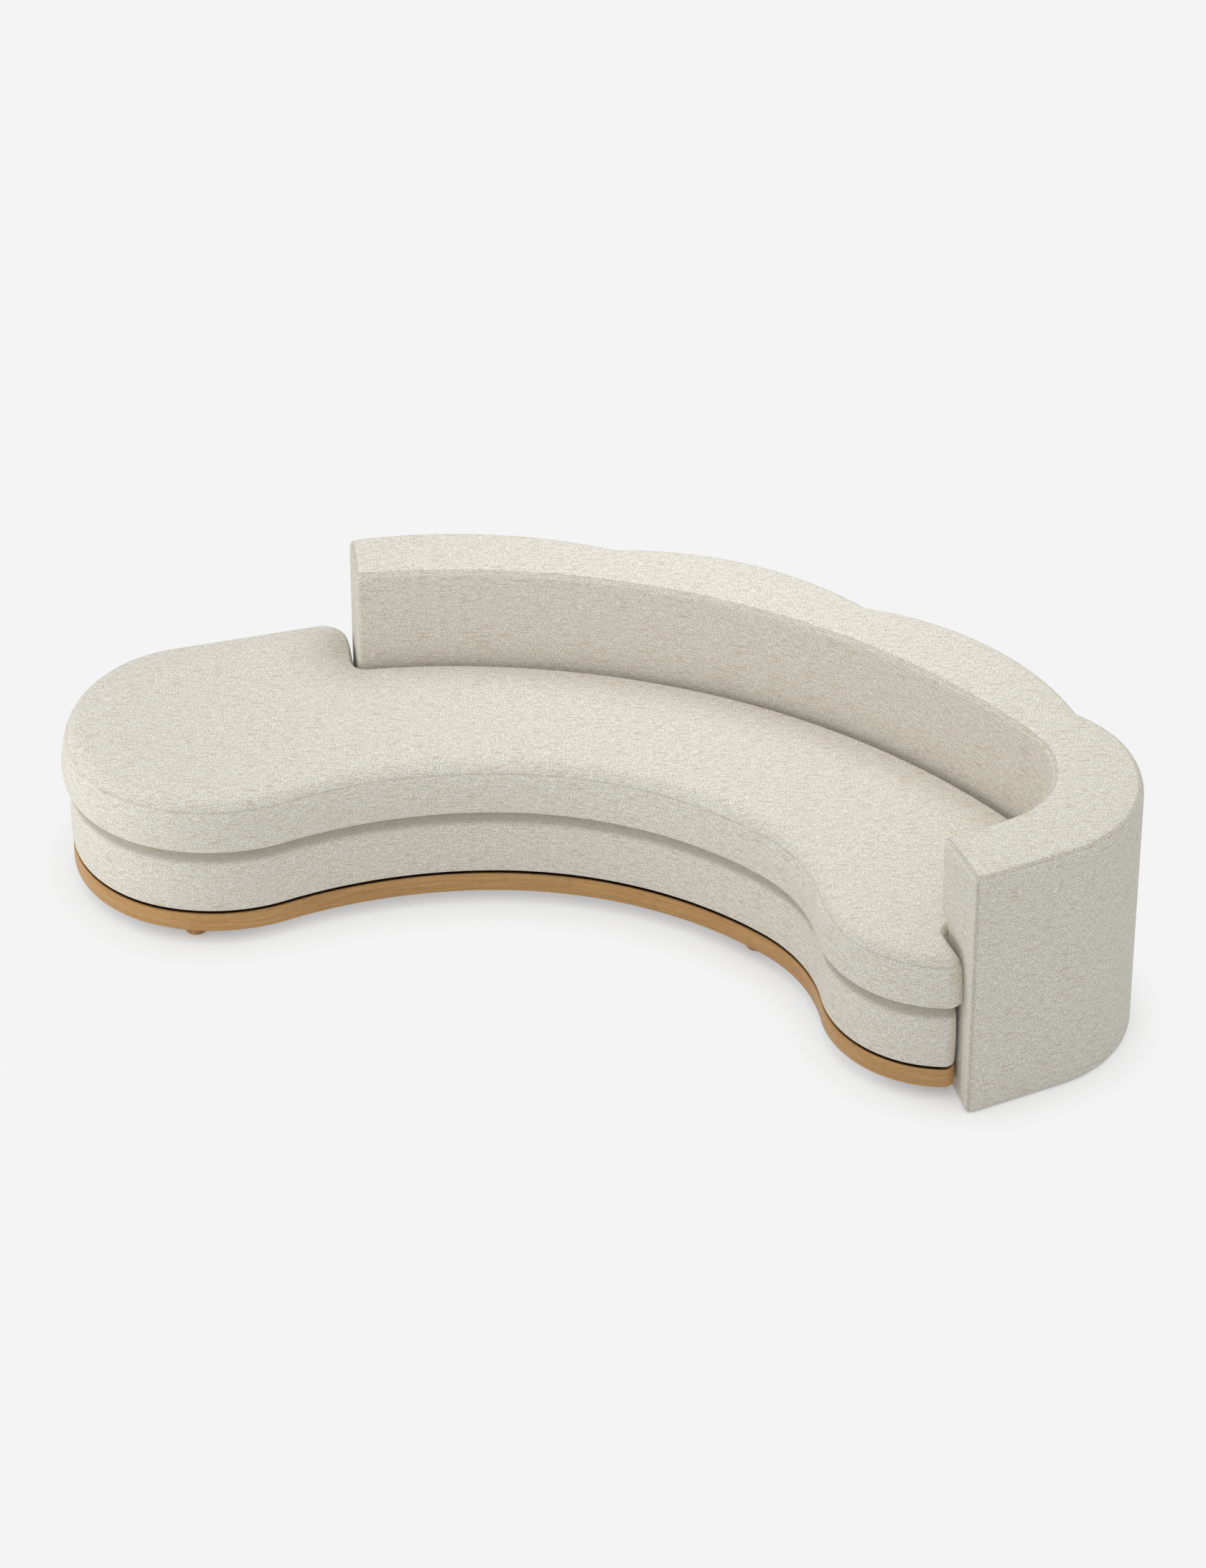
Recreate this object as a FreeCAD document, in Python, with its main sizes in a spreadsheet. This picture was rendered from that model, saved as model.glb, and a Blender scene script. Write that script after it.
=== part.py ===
import FreeCAD, Part
import math
import os
import Sketcher

# Driving dimensions, in millimetres and degrees
DIMENSIONS = {
    # Inner face of the backrest in plan, followed from its open end round to the arm
    "back_heading": 27.1,
    "back_radius": 1800,
    "back_angle": 58.7,
    "hook_radius": 221,
    "hook_angle": 103.7,
    "arm_length": 150,
    # Outer face of the backrest: shallow lobes that meet in valleys
    "back_lobes": 3,
    "open_end_thickness": 146,
    "arm_thickness": 153,
    "valley_thickness": 129,
    "first_lobe_thickness": 157,
    "lobe_thickness_step": 11,
    "hook_lobe_radius": 300,
    "corner_radius": 18,
    "back_height": 714,
    # Layers of the backrest, counted from its inner face
    "cover_thickness": 2,
    "inner_foam_thickness": 30,
    "inner_wall_thickness": 8,
    "back_frame_thickness": 73,
    "outer_wall_thickness": 5,
    "end_pad_thickness": 20,
    "top_pad_thickness": 20,
    "board_thickness": 18,
    "post_width": 18,
    "post_end_margin": 12,
    # Seat in plan, from the notch beside the open end round the lounge end to the arm
    "seat_gap": 8,
    "notch_depth": 209,
    "notch_radius": 80,
    "rear_edge_heading": 34.6,
    "rear_edge_length": 362,
    "lounge_end_radius": 340,
    "lounge_end_angle": 145.4,
    "lounge_bulge_radius": 428,
    "lounge_bulge_angle": 45.6,
    "bay_left_angle": 45.4,
    "bay_right_angle": 28.6,
    "bay_end_radius": 264,
    "bay_end_angle": 36.9,
    "right_lobe_radius": 320,
    "right_lobe_angle": 73.3,
    "nose_radius": 34,
    "nose_length": 78,
    # Heights of the seat, stacked from the floor
    "foot_height": 45,
    "plinth_height": 52,
    "shadow_gap_height": 8,
    "base_height": 194.7,
    "cushion_clearance": 0.3,
    "cushion_height": 140,
    # Layers of the seat base, as insets from the cushion's edge
    "base_inset": 8,
    "base_cover_thickness": 20,
    "seat_board_thickness": 26,
    "seat_frame_thickness": 22,
    "seat_frame_width": 70,
    "seat_ribs": 5,
    "seat_rib_thickness": 18,
    "seat_tie_width": 60,
    "webbing_thickness": 1.2,
    "webbing_width": 55,
    "webbing_pitch": 130,
    "deck_pad_thickness": 12,
    # Plinth and feet
    "plinth_inset": 12,
    "plinth_thickness": 30,
    "foot_inset": 72,
    "rear_foot_share": 0.1,
    "lounge_foot_share": 0.27,
    "bay_foot_share": 0.6,
    "foot_top_radius": 32,
    "foot_bottom_radius": 27,
    "block_clearance": 5,
    # Joint between the seat base and the backrest
    "rail_end_margin": 60,
    "rail_seat_width": 40,
    "rail_clearance": 10,
    "back_glide_side": 36,
    "back_glide_height": 8,
    # Loose seat cushion
    "cushion_wall": 14,
    "cushion_seam_drop": 24,
    "cushion_top_edge": 15,
}

doc = FreeCAD.newDocument("chaise_longue")
sheet = doc.addObject("Spreadsheet::Sheet", "Sizes")
for row, (alias, value) in enumerate(DIMENSIONS.items(), start=1):
    sheet.set(f"A{row}", alias)
    sheet.set(f"B{row}", str(value))
    sheet.setAlias(f"B{row}", alias)
doc.recompute()


def size(alias):
    """The value of one cell of the sheet."""
    return float(sheet.get(alias))


def total(*aliases):
    """A formula that adds cells of the sheet, for binding a length or a height."""
    return " + ".join("Sizes." + alias for alias in aliases)


def worth(formula):
    """The number that a formula on the sheet gives now."""
    return float(sheet.evalExpression(formula))


# Plan geometry: tangent runs, and regions cut from them


def direction(heading):
    """A unit vector at a heading in degrees."""
    return FreeCAD.Vector(math.cos(math.radians(heading)), math.sin(math.radians(heading)), 0)


def turn_step(radius, before, after):
    """How far an arc carries the pen while its heading changes; a negative radius turns right."""
    a, b = math.radians(before), math.radians(after)
    return FreeCAD.Vector(math.sin(b) - math.sin(a), math.cos(a) - math.cos(b), 0) * radius


class Run:
    """A path of straights and arcs, each tangent to the one before it."""

    def __init__(self, start, heading):
        self.start = start
        self.heading = heading
        self.pieces = []

    def straight(self, length):
        self.pieces.append((0, length))
        return self

    def left(self, radius, sweep):
        self.pieces.append((radius, math.radians(sweep) * radius))
        return self

    def right(self, radius, sweep):
        self.pieces.append((-radius, math.radians(sweep) * radius))
        return self

    def length(self):
        return sum(piece[1] for piece in self.pieces)

    def spans(self, first, last):
        """The pieces between two distances along the run, lengthened straight past its ends."""
        point, heading, done = self.start, self.heading, 0.0
        if first < 0:
            yield point + direction(heading) * first, heading, 0, min(0, last) - first
        for radius, length in self.pieces:
            low, high = max(first, done), min(last, done + length)
            if high - low > 1e-9:
                at, towards = self.moved(point, heading, radius, low - done)
                yield at, towards, radius, high - low
            point, heading = self.moved(point, heading, radius, length)
            done += length
        if last > done:
            low = max(first, done)
            yield point + direction(heading) * (low - done), heading, 0, last - low

    @staticmethod
    def moved(point, heading, radius, length):
        if radius == 0:
            return point + direction(heading) * length, heading
        after = heading + math.degrees(length / radius)
        return point + turn_step(radius, heading, after), after

    def place(self, distance, out=0):
        """The point at a distance along the run and off to its left, and the heading there."""
        if distance <= 0:
            point, heading = self.start + direction(self.heading) * distance, self.heading
        else:
            *_, (start, towards, radius, length) = self.spans(0, distance)
            point, heading = self.moved(start, towards, radius, length)
        return point + direction(heading + 90) * out, heading

    def edges(self, out=0, first=0, last=None):
        """Edges of the run, shifted to its left by a distance."""
        made = []
        for point, heading, radius, length in self.spans(first, self.length() if last is None else last):
            stops = [self.moved(point, heading, radius, length * part) for part in (0, 0.5, 1)]
            a, b, c = (at + direction(towards + 90) * out for at, towards in stops)
            curve = Part.LineSegment(a, c) if radius == 0 else Part.Arc(a, b, c)
            made.append(curve.toShape())
        return made

    def band(self, near, far, first, last):
        """The region between two shifts of the run, closed by straight ends."""
        sides = [(self.place(s, near)[0], self.place(s, far)[0]) for s in (first, last)]
        ends = [Part.LineSegment(a, b).toShape() for a, b in sides]
        return region(self.edges(near, first, last) + self.edges(far, first, last) + ends)


def region(edges):
    """A flat face inside one closed loop of edges."""
    return Part.Face(Part.Wire(Part.__sortEdges__(edges)))


def grown(face, distance):
    """The region with its outline moved outwards, or inwards for a negative distance."""
    return face.makeOffset2D(distance)


def faces_of(shape):
    """The separate faces of a flat shape, without the seams that booleans leave."""
    return shape.removeSplitter().Faces


def bounded(shape, limit):
    """The one face of a shape that lies within a limiting region."""
    return max(faces_of(shape.common(limit)), key=lambda face: face.Area)


def block(centre, heading, along, across):
    """A rectangle about a point, turned to a heading."""
    u, w = direction(heading) * (along / 2), direction(heading + 90) * (across / 2)
    corners = [centre + u + w, centre - u + w, centre - u - w, centre + u - w]
    return region([Part.LineSegment(a, b).toShape() for a, b in zip(corners, corners[1:] + corners[:1])])


# The plan: the backrest's inner face leads, and everything else is set against it


def inner_face(start):
    run = Run(start, size("back_heading"))
    run.right(size("back_radius"), size("back_angle"))
    run.right(size("hook_radius"), size("hook_angle"))
    return run.straight(size("arm_length"))


def valley_stations(run):
    """Distances along the inner face at which the outer lobes begin and end."""
    count = int(size("back_lobes"))
    arc = math.radians(size("back_angle")) * size("back_radius")
    return [arc * index / count for index in range(count + 1)] + [run.length()]


def hook_lobe(run, valley):
    """The last lobe: an arc from a valley, then a straight to the arm's outer corner."""
    corner, heading = run.place(run.length(), size("arm_thickness"))
    along, out = direction(heading), direction(heading + 90)
    radius = size("hook_lobe_radius")
    offset = corner - out * radius - valley
    half = offset.dot(along)
    back = -half + math.sqrt(half ** 2 - offset.dot(offset) + radius ** 2)
    centre = corner - out * radius + along * back
    touch = centre + out * radius
    middle = centre + ((valley - centre).normalize() + out).normalize() * radius
    return [Part.Arc(valley, middle, touch).toShape(), Part.LineSegment(touch, corner).toShape()]


def back_plan(run):
    """Outline of the upholstered backrest, with its four upright corners rounded."""
    stations = valley_stations(run)
    thickness = [size("open_end_thickness")] + [size("valley_thickness")] * (len(stations) - 2)
    valleys = [run.place(s, out)[0] for s, out in zip(stations, thickness)]
    edges = run.edges()
    for index, (a, b) in enumerate(zip(valleys, valleys[1:])):
        crest = size("first_lobe_thickness") + index * size("lobe_thickness_step")
        middle = (stations[index] + stations[index + 1]) / 2
        edges.append(Part.Arc(a, run.place(middle, crest)[0], b).toShape())
    edges += hook_lobe(run, valleys[-1])
    for s, out in ((0, size("open_end_thickness")), (run.length(), size("arm_thickness"))):
        edges.append(Part.LineSegment(run.place(s)[0], run.place(s, out)[0]).toShape())
    return grown(grown(region(edges), -size("corner_radius")), size("corner_radius"))


def seat_front(run):
    """Edge of the seat from the notch round the lounge end, the bay and the right lobe to the arm.

    The two wide arcs of the bay have no radius of their own: they close the edge between the
    lounge end, which is set against the open end, and the right lobe, which is set against the arm.
    """
    gap = size("seat_gap")
    first, heading = run.place(0)
    rear_heading = 180 + size("rear_edge_heading")
    notch_heading = heading + 90
    notch_sweep = rear_heading - notch_heading
    tangent = size("notch_radius") * math.tan(math.radians(notch_sweep / 2))
    start = first - direction(heading) * gap + direction(notch_heading) * (size("notch_depth") - tangent)
    edge = Run(start, notch_heading)
    edge.left(size("notch_radius"), notch_sweep).straight(size("rear_edge_length"))
    edge.left(size("lounge_end_radius"), size("lounge_end_angle"))
    edge.left(size("lounge_bulge_radius"), size("lounge_bulge_angle"))
    bay_start, bay_heading = edge.place(edge.length())

    last, arm_heading = run.place(run.length())
    bay_middle = bay_heading - size("bay_left_angle")
    bay_last = bay_middle - size("bay_right_angle")
    lobe_first = bay_last - size("bay_end_angle")
    lobe_last = lobe_first + size("right_lobe_angle")
    nose_heading = arm_heading + 270 + 360 * round((lobe_last - arm_heading - 180) / 360)
    bay_stop = last + direction(arm_heading) * gap - direction(nose_heading) * size("nose_length")
    bay_stop -= turn_step(size("nose_radius"), lobe_last, nose_heading)
    bay_stop -= turn_step(size("right_lobe_radius"), lobe_first, lobe_last)
    bay_stop -= turn_step(-size("bay_end_radius"), bay_last, lobe_first)
    u, w = turn_step(-1, bay_heading, bay_middle), turn_step(-1, bay_middle, bay_last)
    span = bay_stop - bay_start
    across = u.x * w.y - u.y * w.x
    edge.right((span.x * w.y - span.y * w.x) / across, size("bay_left_angle"))
    edge.right((u.x * span.y - u.y * span.x) / across, size("bay_right_angle"))
    edge.right(size("bay_end_radius"), size("bay_end_angle"))
    edge.left(size("right_lobe_radius"), size("right_lobe_angle"))
    return edge.left(size("nose_radius"), nose_heading - lobe_last)


def seat_plan(run, back, front):
    """Outline of the seat: the front edge, closed inside the backrest and trimmed clear of it."""
    core = size("valley_thickness") / 2
    first, last = core, run.length() - core
    ends = [front.place(0)[0], front.place(front.length())[0]]
    inside = [run.place(first, core)[0], run.place(last, core)[0]]
    closing = [Part.LineSegment(a, b).toShape() for a, b in zip(ends, inside)]
    blank = region(front.edges() + run.edges(core, first, last) + closing)
    return max(faces_of(blank.cut(grown(back, size("seat_gap")))), key=lambda face: face.Area)


class Plan:
    """All plan outlines, for a given place of the open end's inner corner."""

    def __init__(self, start):
        self.run = inner_face(start)
        self.back = back_plan(self.run)
        self.front = seat_front(self.run)
        self.seat = seat_plan(self.run, self.back, self.front)

    def box(self):
        return Part.makeCompound([self.back, self.seat]).optimalBoundingBox(False, False)


# The origin is the middle of the plan's box, on the floor
plan = Plan(-Plan(FreeCAD.Vector()).box().Center)
run = plan.run


# Ways of making a piece


def flat_sketch(body, faces, name):
    """A sketch on the body's ground plane that draws the outlines of flat faces."""
    sketch = body.newObject("Sketcher::SketchObject", name)
    ground = next(f for f in body.Origin.OriginFeatures if f.Role == "XY_Plane")
    sketch.AttachmentSupport = [(ground, "")]
    sketch.MapMode = "FlatFace"
    for wire in (wire for face in faces for wire in face.Wires):
        stops = [vertex.Point for vertex in wire.OrderedVertexes]
        for edge, a, b in zip(wire.OrderedEdges, stops, stops[1:] + stops[:1]):
            if edge.Curve.TypeId == "Part::GeomLine":
                sketch.addGeometry(Part.LineSegment(a, b))
            else:
                middle = edge.valueAt((edge.FirstParameter + edge.LastParameter) / 2)
                sketch.addGeometry(Part.Arc(a, middle, b))
    return sketch


def slab(name, faces, bottom, height):
    """A piece with upright sides: flat outlines padded to a height, at a level."""
    body = doc.addObject("PartDesign::Body", name)
    body.Label = name
    body.AllowCompound = True
    faces = faces if isinstance(faces, list) else [faces]
    pad = body.newObject("PartDesign::Pad", name + "_pad")
    pad.Profile = flat_sketch(body, faces, name + "_outline")
    pad.setExpression("Length", height)
    body.setExpression("Placement.Base.z", bottom)
    return body


def eased(body, level, width, name):
    """Chamfers the edges of a slab that lie at a height above its own bottom."""
    doc.recompute()
    before = body.Tip
    edges = [
        f"Edge{index}" for index, edge in enumerate(before.Shape.Edges, start=1)
        if abs(edge.BoundBox.ZMin - level) < 1e-4 and abs(edge.BoundBox.ZMax - level) < 1e-4
    ]
    chamfer = body.newObject("PartDesign::Chamfer", name)
    chamfer.Base = (before, edges)
    chamfer.setExpression("Size", width)


def cut(name, base, tools):
    """A piece less other shapes."""
    result = base
    for index, tool in enumerate(tools, start=1):
        whole = doc.addObject("Part::Cut", name if index == len(tools) else f"{name}_step_{index}")
        whole.Base, whole.Tool = result, tool
        result = whole
    result.Label = name
    return result


def group(name, members):
    """Like pieces kept together as separate solids."""
    whole = doc.addObject("Part::Compound", name)
    whole.Links = members
    whole.Label = name
    return whole


def turned(name, profile, point):
    """A piece turned about its own upright axis; the profile is (radius, height) formulas."""
    body = doc.addObject("PartDesign::Body", name)
    sketch = body.newObject("Sketcher::SketchObject", name + "_profile")
    upright = next(f for f in body.Origin.OriginFeatures if f.Role == "XZ_Plane")
    sketch.AttachmentSupport = [(upright, "")]
    sketch.MapMode = "FlatFace"
    corners = [FreeCAD.Vector(worth(r), worth(z), 0) for r, z in profile]
    for a, b in zip(corners, corners[1:] + corners[:1]):
        sketch.addGeometry(Part.LineSegment(a, b))
    for index in range(len(corners)):
        after = (index + 1) % len(corners)
        sketch.addConstraint(Sketcher.Constraint("Coincident", index, 2, after, 1))
    for index, formulas in enumerate(profile):
        for kind, formula in zip(("DistanceX", "DistanceY"), formulas):
            number = sketch.addConstraint(Sketcher.Constraint(kind, -1, 1, index, 1, worth(formula)))
            sketch.setExpression(f"Constraints[{number}]", formula)
    spin = body.newObject("PartDesign::Revolution", name + "_turning")
    spin.Profile = sketch
    spin.ReferenceAxis = (sketch, ["V_Axis"])
    spin.Angle = 360
    body.Placement.Base = point
    return body


pieces = []


def keep(piece):
    pieces.append(piece)
    return piece


# Levels of the seat, from the floor up
PLINTH_LEVEL = total("foot_height")
BOARD_LEVEL = PLINTH_LEVEL + " + " + total("plinth_height")
BOARD_TOP = BOARD_LEVEL + " + " + total("seat_board_thickness")
BASE_LEVEL = BOARD_LEVEL + " + " + total("shadow_gap_height")
BASE_TOP = BASE_LEVEL + " + " + total("base_height")
CUSHION_LEVEL = BASE_TOP + " + " + total("cushion_clearance")
DECK_LEVEL = BASE_TOP + " - " + total("deck_pad_thickness")
LONG_WEB_LEVEL = DECK_LEVEL + " - " + total("webbing_thickness")
CROSS_WEB_LEVEL = LONG_WEB_LEVEL + " - " + total("webbing_thickness")
SEAT_FRAME_LEVEL = CROSS_WEB_LEVEL + " - " + total("seat_frame_thickness")
RAIL_TOP = SEAT_FRAME_LEVEL + " - " + total("rail_clearance")

# Insets of the seat's layers from the cushion's edge
frame_inset = size("base_inset") + size("base_cover_thickness")
base_outline = grown(plan.seat, -size("base_inset"))
frame_outline = grown(plan.seat, -frame_inset)

# Shifts of the backrest's layers from its inner face
foam_shift = size("cover_thickness") + size("inner_foam_thickness")
frame_shift = foam_shift + size("inner_wall_thickness")
outer_wall_shift = frame_shift + size("back_frame_thickness")
lobe_shift = outer_wall_shift + size("outer_wall_thickness")
beyond = size("hook_lobe_radius") + size("arm_thickness")
pad_end = size("cover_thickness") + size("end_pad_thickness")
stop = run.length()
stations = valley_stations(run)

# Posts of the back frame stand at the valleys and at both ends, clear of the end pads
post_margin = pad_end + size("post_end_margin") + size("post_width") / 2
post_places = [post_margin] + stations[1:-1] + [stop - post_margin]


# Plinth and feet


def foot_points():
    """Places of the feet, a set distance inside the seat's edge: two in front, the rest out of sight."""
    front, inset = plan.front, size("foot_inset")
    ends = [sum(piece[1] for piece in front.pieces[:count]) for count in range(len(front.pieces) + 1)]
    marks = [ends[2] + size("rear_foot_share") * (ends[3] - ends[2])]
    marks.append(ends[3] + size("lounge_foot_share") * (ends[4] - ends[3]))
    marks.append(ends[5] + size("bay_foot_share") * (ends[6] - ends[5]))
    points = [front.place(mark, inset) for mark in marks]
    seat_side = -size("seat_gap") - inset
    for station in (stations[1], stations[-2]):
        points.append(run.place(station, seat_side))
    return points


feet = foot_points()
plinth_reach = size("plinth_inset") + size("plinth_thickness")
plinth_face = grown(plan.seat, -size("plinth_inset"))
plinth_hollow = grown(plan.seat, -plinth_reach)
keep(slab("plinth_ring", plinth_face.cut(plinth_hollow).Faces, PLINTH_LEVEL, total("plinth_height")))
block_side = 2 * (size("foot_inset") - plinth_reach - size("block_clearance"))
block_faces = [block(point, heading, block_side, block_side) for point, heading in feet]
keep(slab("foot_blocks", block_faces, PLINTH_LEVEL, total("plinth_height")))

foot_profile = [
    ("0", "0"),
    ("Sizes.foot_bottom_radius", "0"),
    ("Sizes.foot_top_radius", "Sizes.foot_height"),
    ("0", "Sizes.foot_height"),
]
turned_feet = [turned(f"foot_{number}", foot_profile, point) for number, (point, heading) in enumerate(feet, 1)]
keep(group("feet", turned_feet))

# Joint rail: it lies on the seat's bottom board and reaches through to the back's inner wall
rail_first, rail_last = size("rail_end_margin"), stop - size("rail_end_margin")
rail_near = -size("seat_gap") - frame_inset - size("rail_seat_width")
rail_outline = run.band(rail_near, foam_shift, rail_first, rail_last)
rail_height = RAIL_TOP + " - (" + BOARD_TOP + ")"
keep(slab("joint_rail", rail_outline, BOARD_TOP, rail_height))

# Seat base: board, ribs, top frame, webbing, deck and padded cover


def rib_strips(width):
    """Upright strips across the seat, spread evenly along it."""
    box = plan.seat.BoundBox
    count = int(size("seat_ribs"))
    middles = [box.XMin + box.XLength * (index + 0.5) / count for index in range(count)]
    return [block(FreeCAD.Vector(x, box.Center.y, 0), 0, width, 2 * box.YLength) for x in middles]


keep(slab("seat_bottom_board", frame_outline, BOARD_LEVEL, total("seat_board_thickness")))
rib_height = SEAT_FRAME_LEVEL + " - (" + BOARD_TOP + ")"
rib_room = frame_outline.cut(grown(rail_outline, size("rail_clearance")))
for number, strip in enumerate(rib_strips(size("seat_rib_thickness")), start=1):
    keep(slab(f"seat_rib_{number}", bounded(rib_room, strip), BOARD_TOP, rib_height))


def fitted(outline, middle, heading, width):
    """Rectangles of a width along a line through a point, as long as an outline has room for."""
    along, across = direction(heading), direction(heading + 90)
    far = outline.BoundBox.DiagonalLength
    spans = []
    for side in (middle - across * (width / 2), middle + across * (width / 2)):
        line = Part.LineSegment(side - along * far, side + along * far).toShape()
        crossed = outline.common(line).Edges
        spans.append([sorted(vertex.Point.dot(along) for vertex in edge.Vertexes) for edge in crossed])
    made = []
    for low, high in ((max(a[0], b[0]), min(a[1], b[1])) for a in spans[0] for b in spans[1]):
        if high - low > width / 2:
            centre = across * middle.dot(across) + along * ((low + high) / 2)
            made.append(block(centre, heading, high - low, width))
    return made


def straps(lengthwise):
    """Square-ended webbing straps across the seat's frame, one way or the other."""
    box = frame_outline.BoundBox
    heading = 0 if lengthwise else 90
    across, pitch = direction(90 - heading), size("webbing_pitch")
    count = int((box.YLength if lengthwise else box.XLength) / pitch)
    middles = [box.Center + across * (pitch * (index - (count - 1) / 2)) for index in range(count)]
    return [strap for middle in middles for strap in fitted(frame_outline, middle, heading, size("webbing_width"))]


top_frame = frame_outline
window_room = grown(frame_outline, -size("seat_frame_width"))
ties = [strip.BoundBox for strip in rib_strips(size("seat_tie_width"))]
for left, right in zip(ties, ties[1:]):
    middle = FreeCAD.Vector((left.XMax + right.XMin) / 2, left.Center.y, 0)
    for window in fitted(window_room, middle, 90, right.XMin - left.XMax):
        top_frame = top_frame.cut(window)
keep(slab("seat_top_frame", top_frame.Faces, SEAT_FRAME_LEVEL, total("seat_frame_thickness")))


keep(slab("cross_webbing", straps(False), CROSS_WEB_LEVEL, total("webbing_thickness")))
keep(slab("long_webbing", straps(True), LONG_WEB_LEVEL, total("webbing_thickness")))
keep(slab("seat_deck_pad", frame_outline, DECK_LEVEL, total("deck_pad_thickness")))

base_form = slab("base_form", base_outline, BASE_LEVEL, total("base_height"))
base_hollow = slab("base_hollow", frame_outline, BASE_LEVEL, total("base_height"))
joint_space = slab("joint_space", rail_outline, BASE_LEVEL, total("base_height"))
keep(cut("base_cover", base_form, [base_hollow, joint_space]))

# Backrest: boards, posts, walls, foam and cover panels
BACK_FLOOR = total("back_glide_height")
cover_level = "Sizes.back_height - Sizes.cover_thickness"
top_pad_level = cover_level + " - Sizes.top_pad_thickness"
frame_height = top_pad_level + " - (" + BACK_FLOOR + ")"
panel_height = cover_level + " - (" + BACK_FLOOR + ")"
post_level = BACK_FLOOR + " + " + total("board_thickness")
post_height = frame_height + " - 2 * Sizes.board_thickness"
top_board_level = top_pad_level + " - Sizes.board_thickness"

frame_band = run.band(frame_shift, outer_wall_shift, pad_end, stop - pad_end)
keep(slab("back_bottom_board", frame_band, BACK_FLOOR, total("board_thickness")))
keep(slab("back_top_board", frame_band, top_board_level, total("board_thickness")))
for number, place in enumerate(post_places, start=1):
    half = size("post_width") / 2
    post = run.band(frame_shift, outer_wall_shift, place - half, place + half)
    keep(slab(f"back_post_{number}", post, post_level, post_height))
inner_wall = run.band(foam_shift, frame_shift, pad_end, stop - pad_end)
keep(slab("back_inner_wall", inner_wall, BACK_FLOOR, frame_height))
outer_wall = run.band(outer_wall_shift, lobe_shift, pad_end, stop - pad_end)
keep(slab("back_outer_wall", outer_wall, BACK_FLOOR, frame_height))

back_fill = grown(plan.back, -size("cover_thickness"))
inner_foam = bounded(back_fill, run.band(-foam_shift, foam_shift, pad_end, stop - pad_end))
keep(slab("back_inner_foam", inner_foam, RAIL_TOP, cover_level + " - (" + RAIL_TOP + ")"))
lobe_ends = [pad_end] + stations[1:-1] + [stop - pad_end]
for number, (first, last) in enumerate(zip(lobe_ends, lobe_ends[1:]), start=1):
    lobe = bounded(back_fill, run.band(lobe_shift, beyond, first, last))
    keep(slab(f"back_lobe_{number}", lobe, BACK_FLOOR, panel_height))
open_end = run.band(-foam_shift, beyond, -foam_shift, pad_end)
arm_end = run.band(-foam_shift, beyond, stop - pad_end, stop + foam_shift)
keep(slab("open_end_pad", bounded(back_fill, open_end), BACK_FLOOR, panel_height))
keep(slab("arm_end_pad", bounded(back_fill, arm_end), BACK_FLOOR, panel_height))
top_band = run.band(foam_shift, lobe_shift, pad_end, stop - pad_end)
keep(slab("back_top_pad", top_band, top_pad_level, total("top_pad_thickness")))

# The inside cover wraps round both ends of the backrest; the joint rail passes below its edge
skin = plan.back.cut(back_fill)
outside = run.band(outer_wall_shift, beyond, pad_end, stop - pad_end)
inside_body = slab("inside_cover_blank", faces_of(skin.cut(outside)), BACK_FLOOR, panel_height)
cover_opening = run.band(-foam_shift, foam_shift, rail_first, rail_last)
opening_height = RAIL_TOP + " - (" + BACK_FLOOR + ")"
cover_cut = slab("cover_opening", cover_opening, BACK_FLOOR, opening_height)
keep(cut("inside_back_cover", inside_body, [cover_cut]))
for number, (first, last) in enumerate(zip(lobe_ends, lobe_ends[1:]), start=1):
    panel = bounded(skin, run.band(outer_wall_shift, beyond, first, last))
    keep(slab(f"outside_back_panel_{number}", panel, BACK_FLOOR, panel_height))
keep(slab("back_top_cover", plan.back, cover_level, total("cover_thickness")))

glide_side = size("back_glide_side")
glide_faces = []
for place in post_places:
    point, heading = run.place(place, (frame_shift + outer_wall_shift) / 2)
    glide_faces.append(block(point, heading, glide_side, glide_side))
keep(slab("back_glides", glide_faces, "0", total("back_glide_height")))

# Loose cushion: a foam core in a padded cover of top panel, border and bottom panel
core_outline = grown(plan.seat, -size("cushion_wall"))
border_level = CUSHION_LEVEL + " + " + total("cushion_wall")
border_height = "Sizes.cushion_height - Sizes.cushion_wall - Sizes.cushion_seam_drop"
seam_level = border_level + " + " + border_height
keep(slab("cushion_core", core_outline, border_level, border_height))
keep(slab("cushion_border", plan.seat.cut(core_outline).Faces, border_level, border_height))
keep(slab("cushion_bottom_panel", plan.seat, CUSHION_LEVEL, total("cushion_wall")))
top_panel = keep(slab("cushion_top_panel", plan.seat, seam_level, total("cushion_seam_drop")))
eased(top_panel, size("cushion_seam_drop"), total("cushion_top_edge"), "cushion_top_chamfer")

# Build, test and write every piece
doc.recompute()
for item in doc.Objects:
    if "Invalid" in item.State or "Error" in item.State:
        raise RuntimeError(f"{item.Label} did not build: {item.State}")
for piece in pieces:
    if piece.Shape.isNull() or not piece.Shape.isValid() or not piece.Shape.Solids:
        raise RuntimeError(f"{piece.Label} has no sound solid")
os.makedirs("parts", exist_ok=True)
for piece in pieces:
    piece.Shape.exportStep(f"parts/{piece.Label}.step")
    box = piece.Shape.BoundBox
    print(f"{piece.Label:24s} {len(piece.Shape.Solids):3d} solids {piece.Shape.Volume / 1e6:9.3f} litres "
          f"z {box.ZMin:7.1f} to {box.ZMax:7.1f}")
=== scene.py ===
import math
import bmesh
import bpy
import numpy as np
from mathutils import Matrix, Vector
from mathutils.geometry import delaunay_2d_cdt


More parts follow.
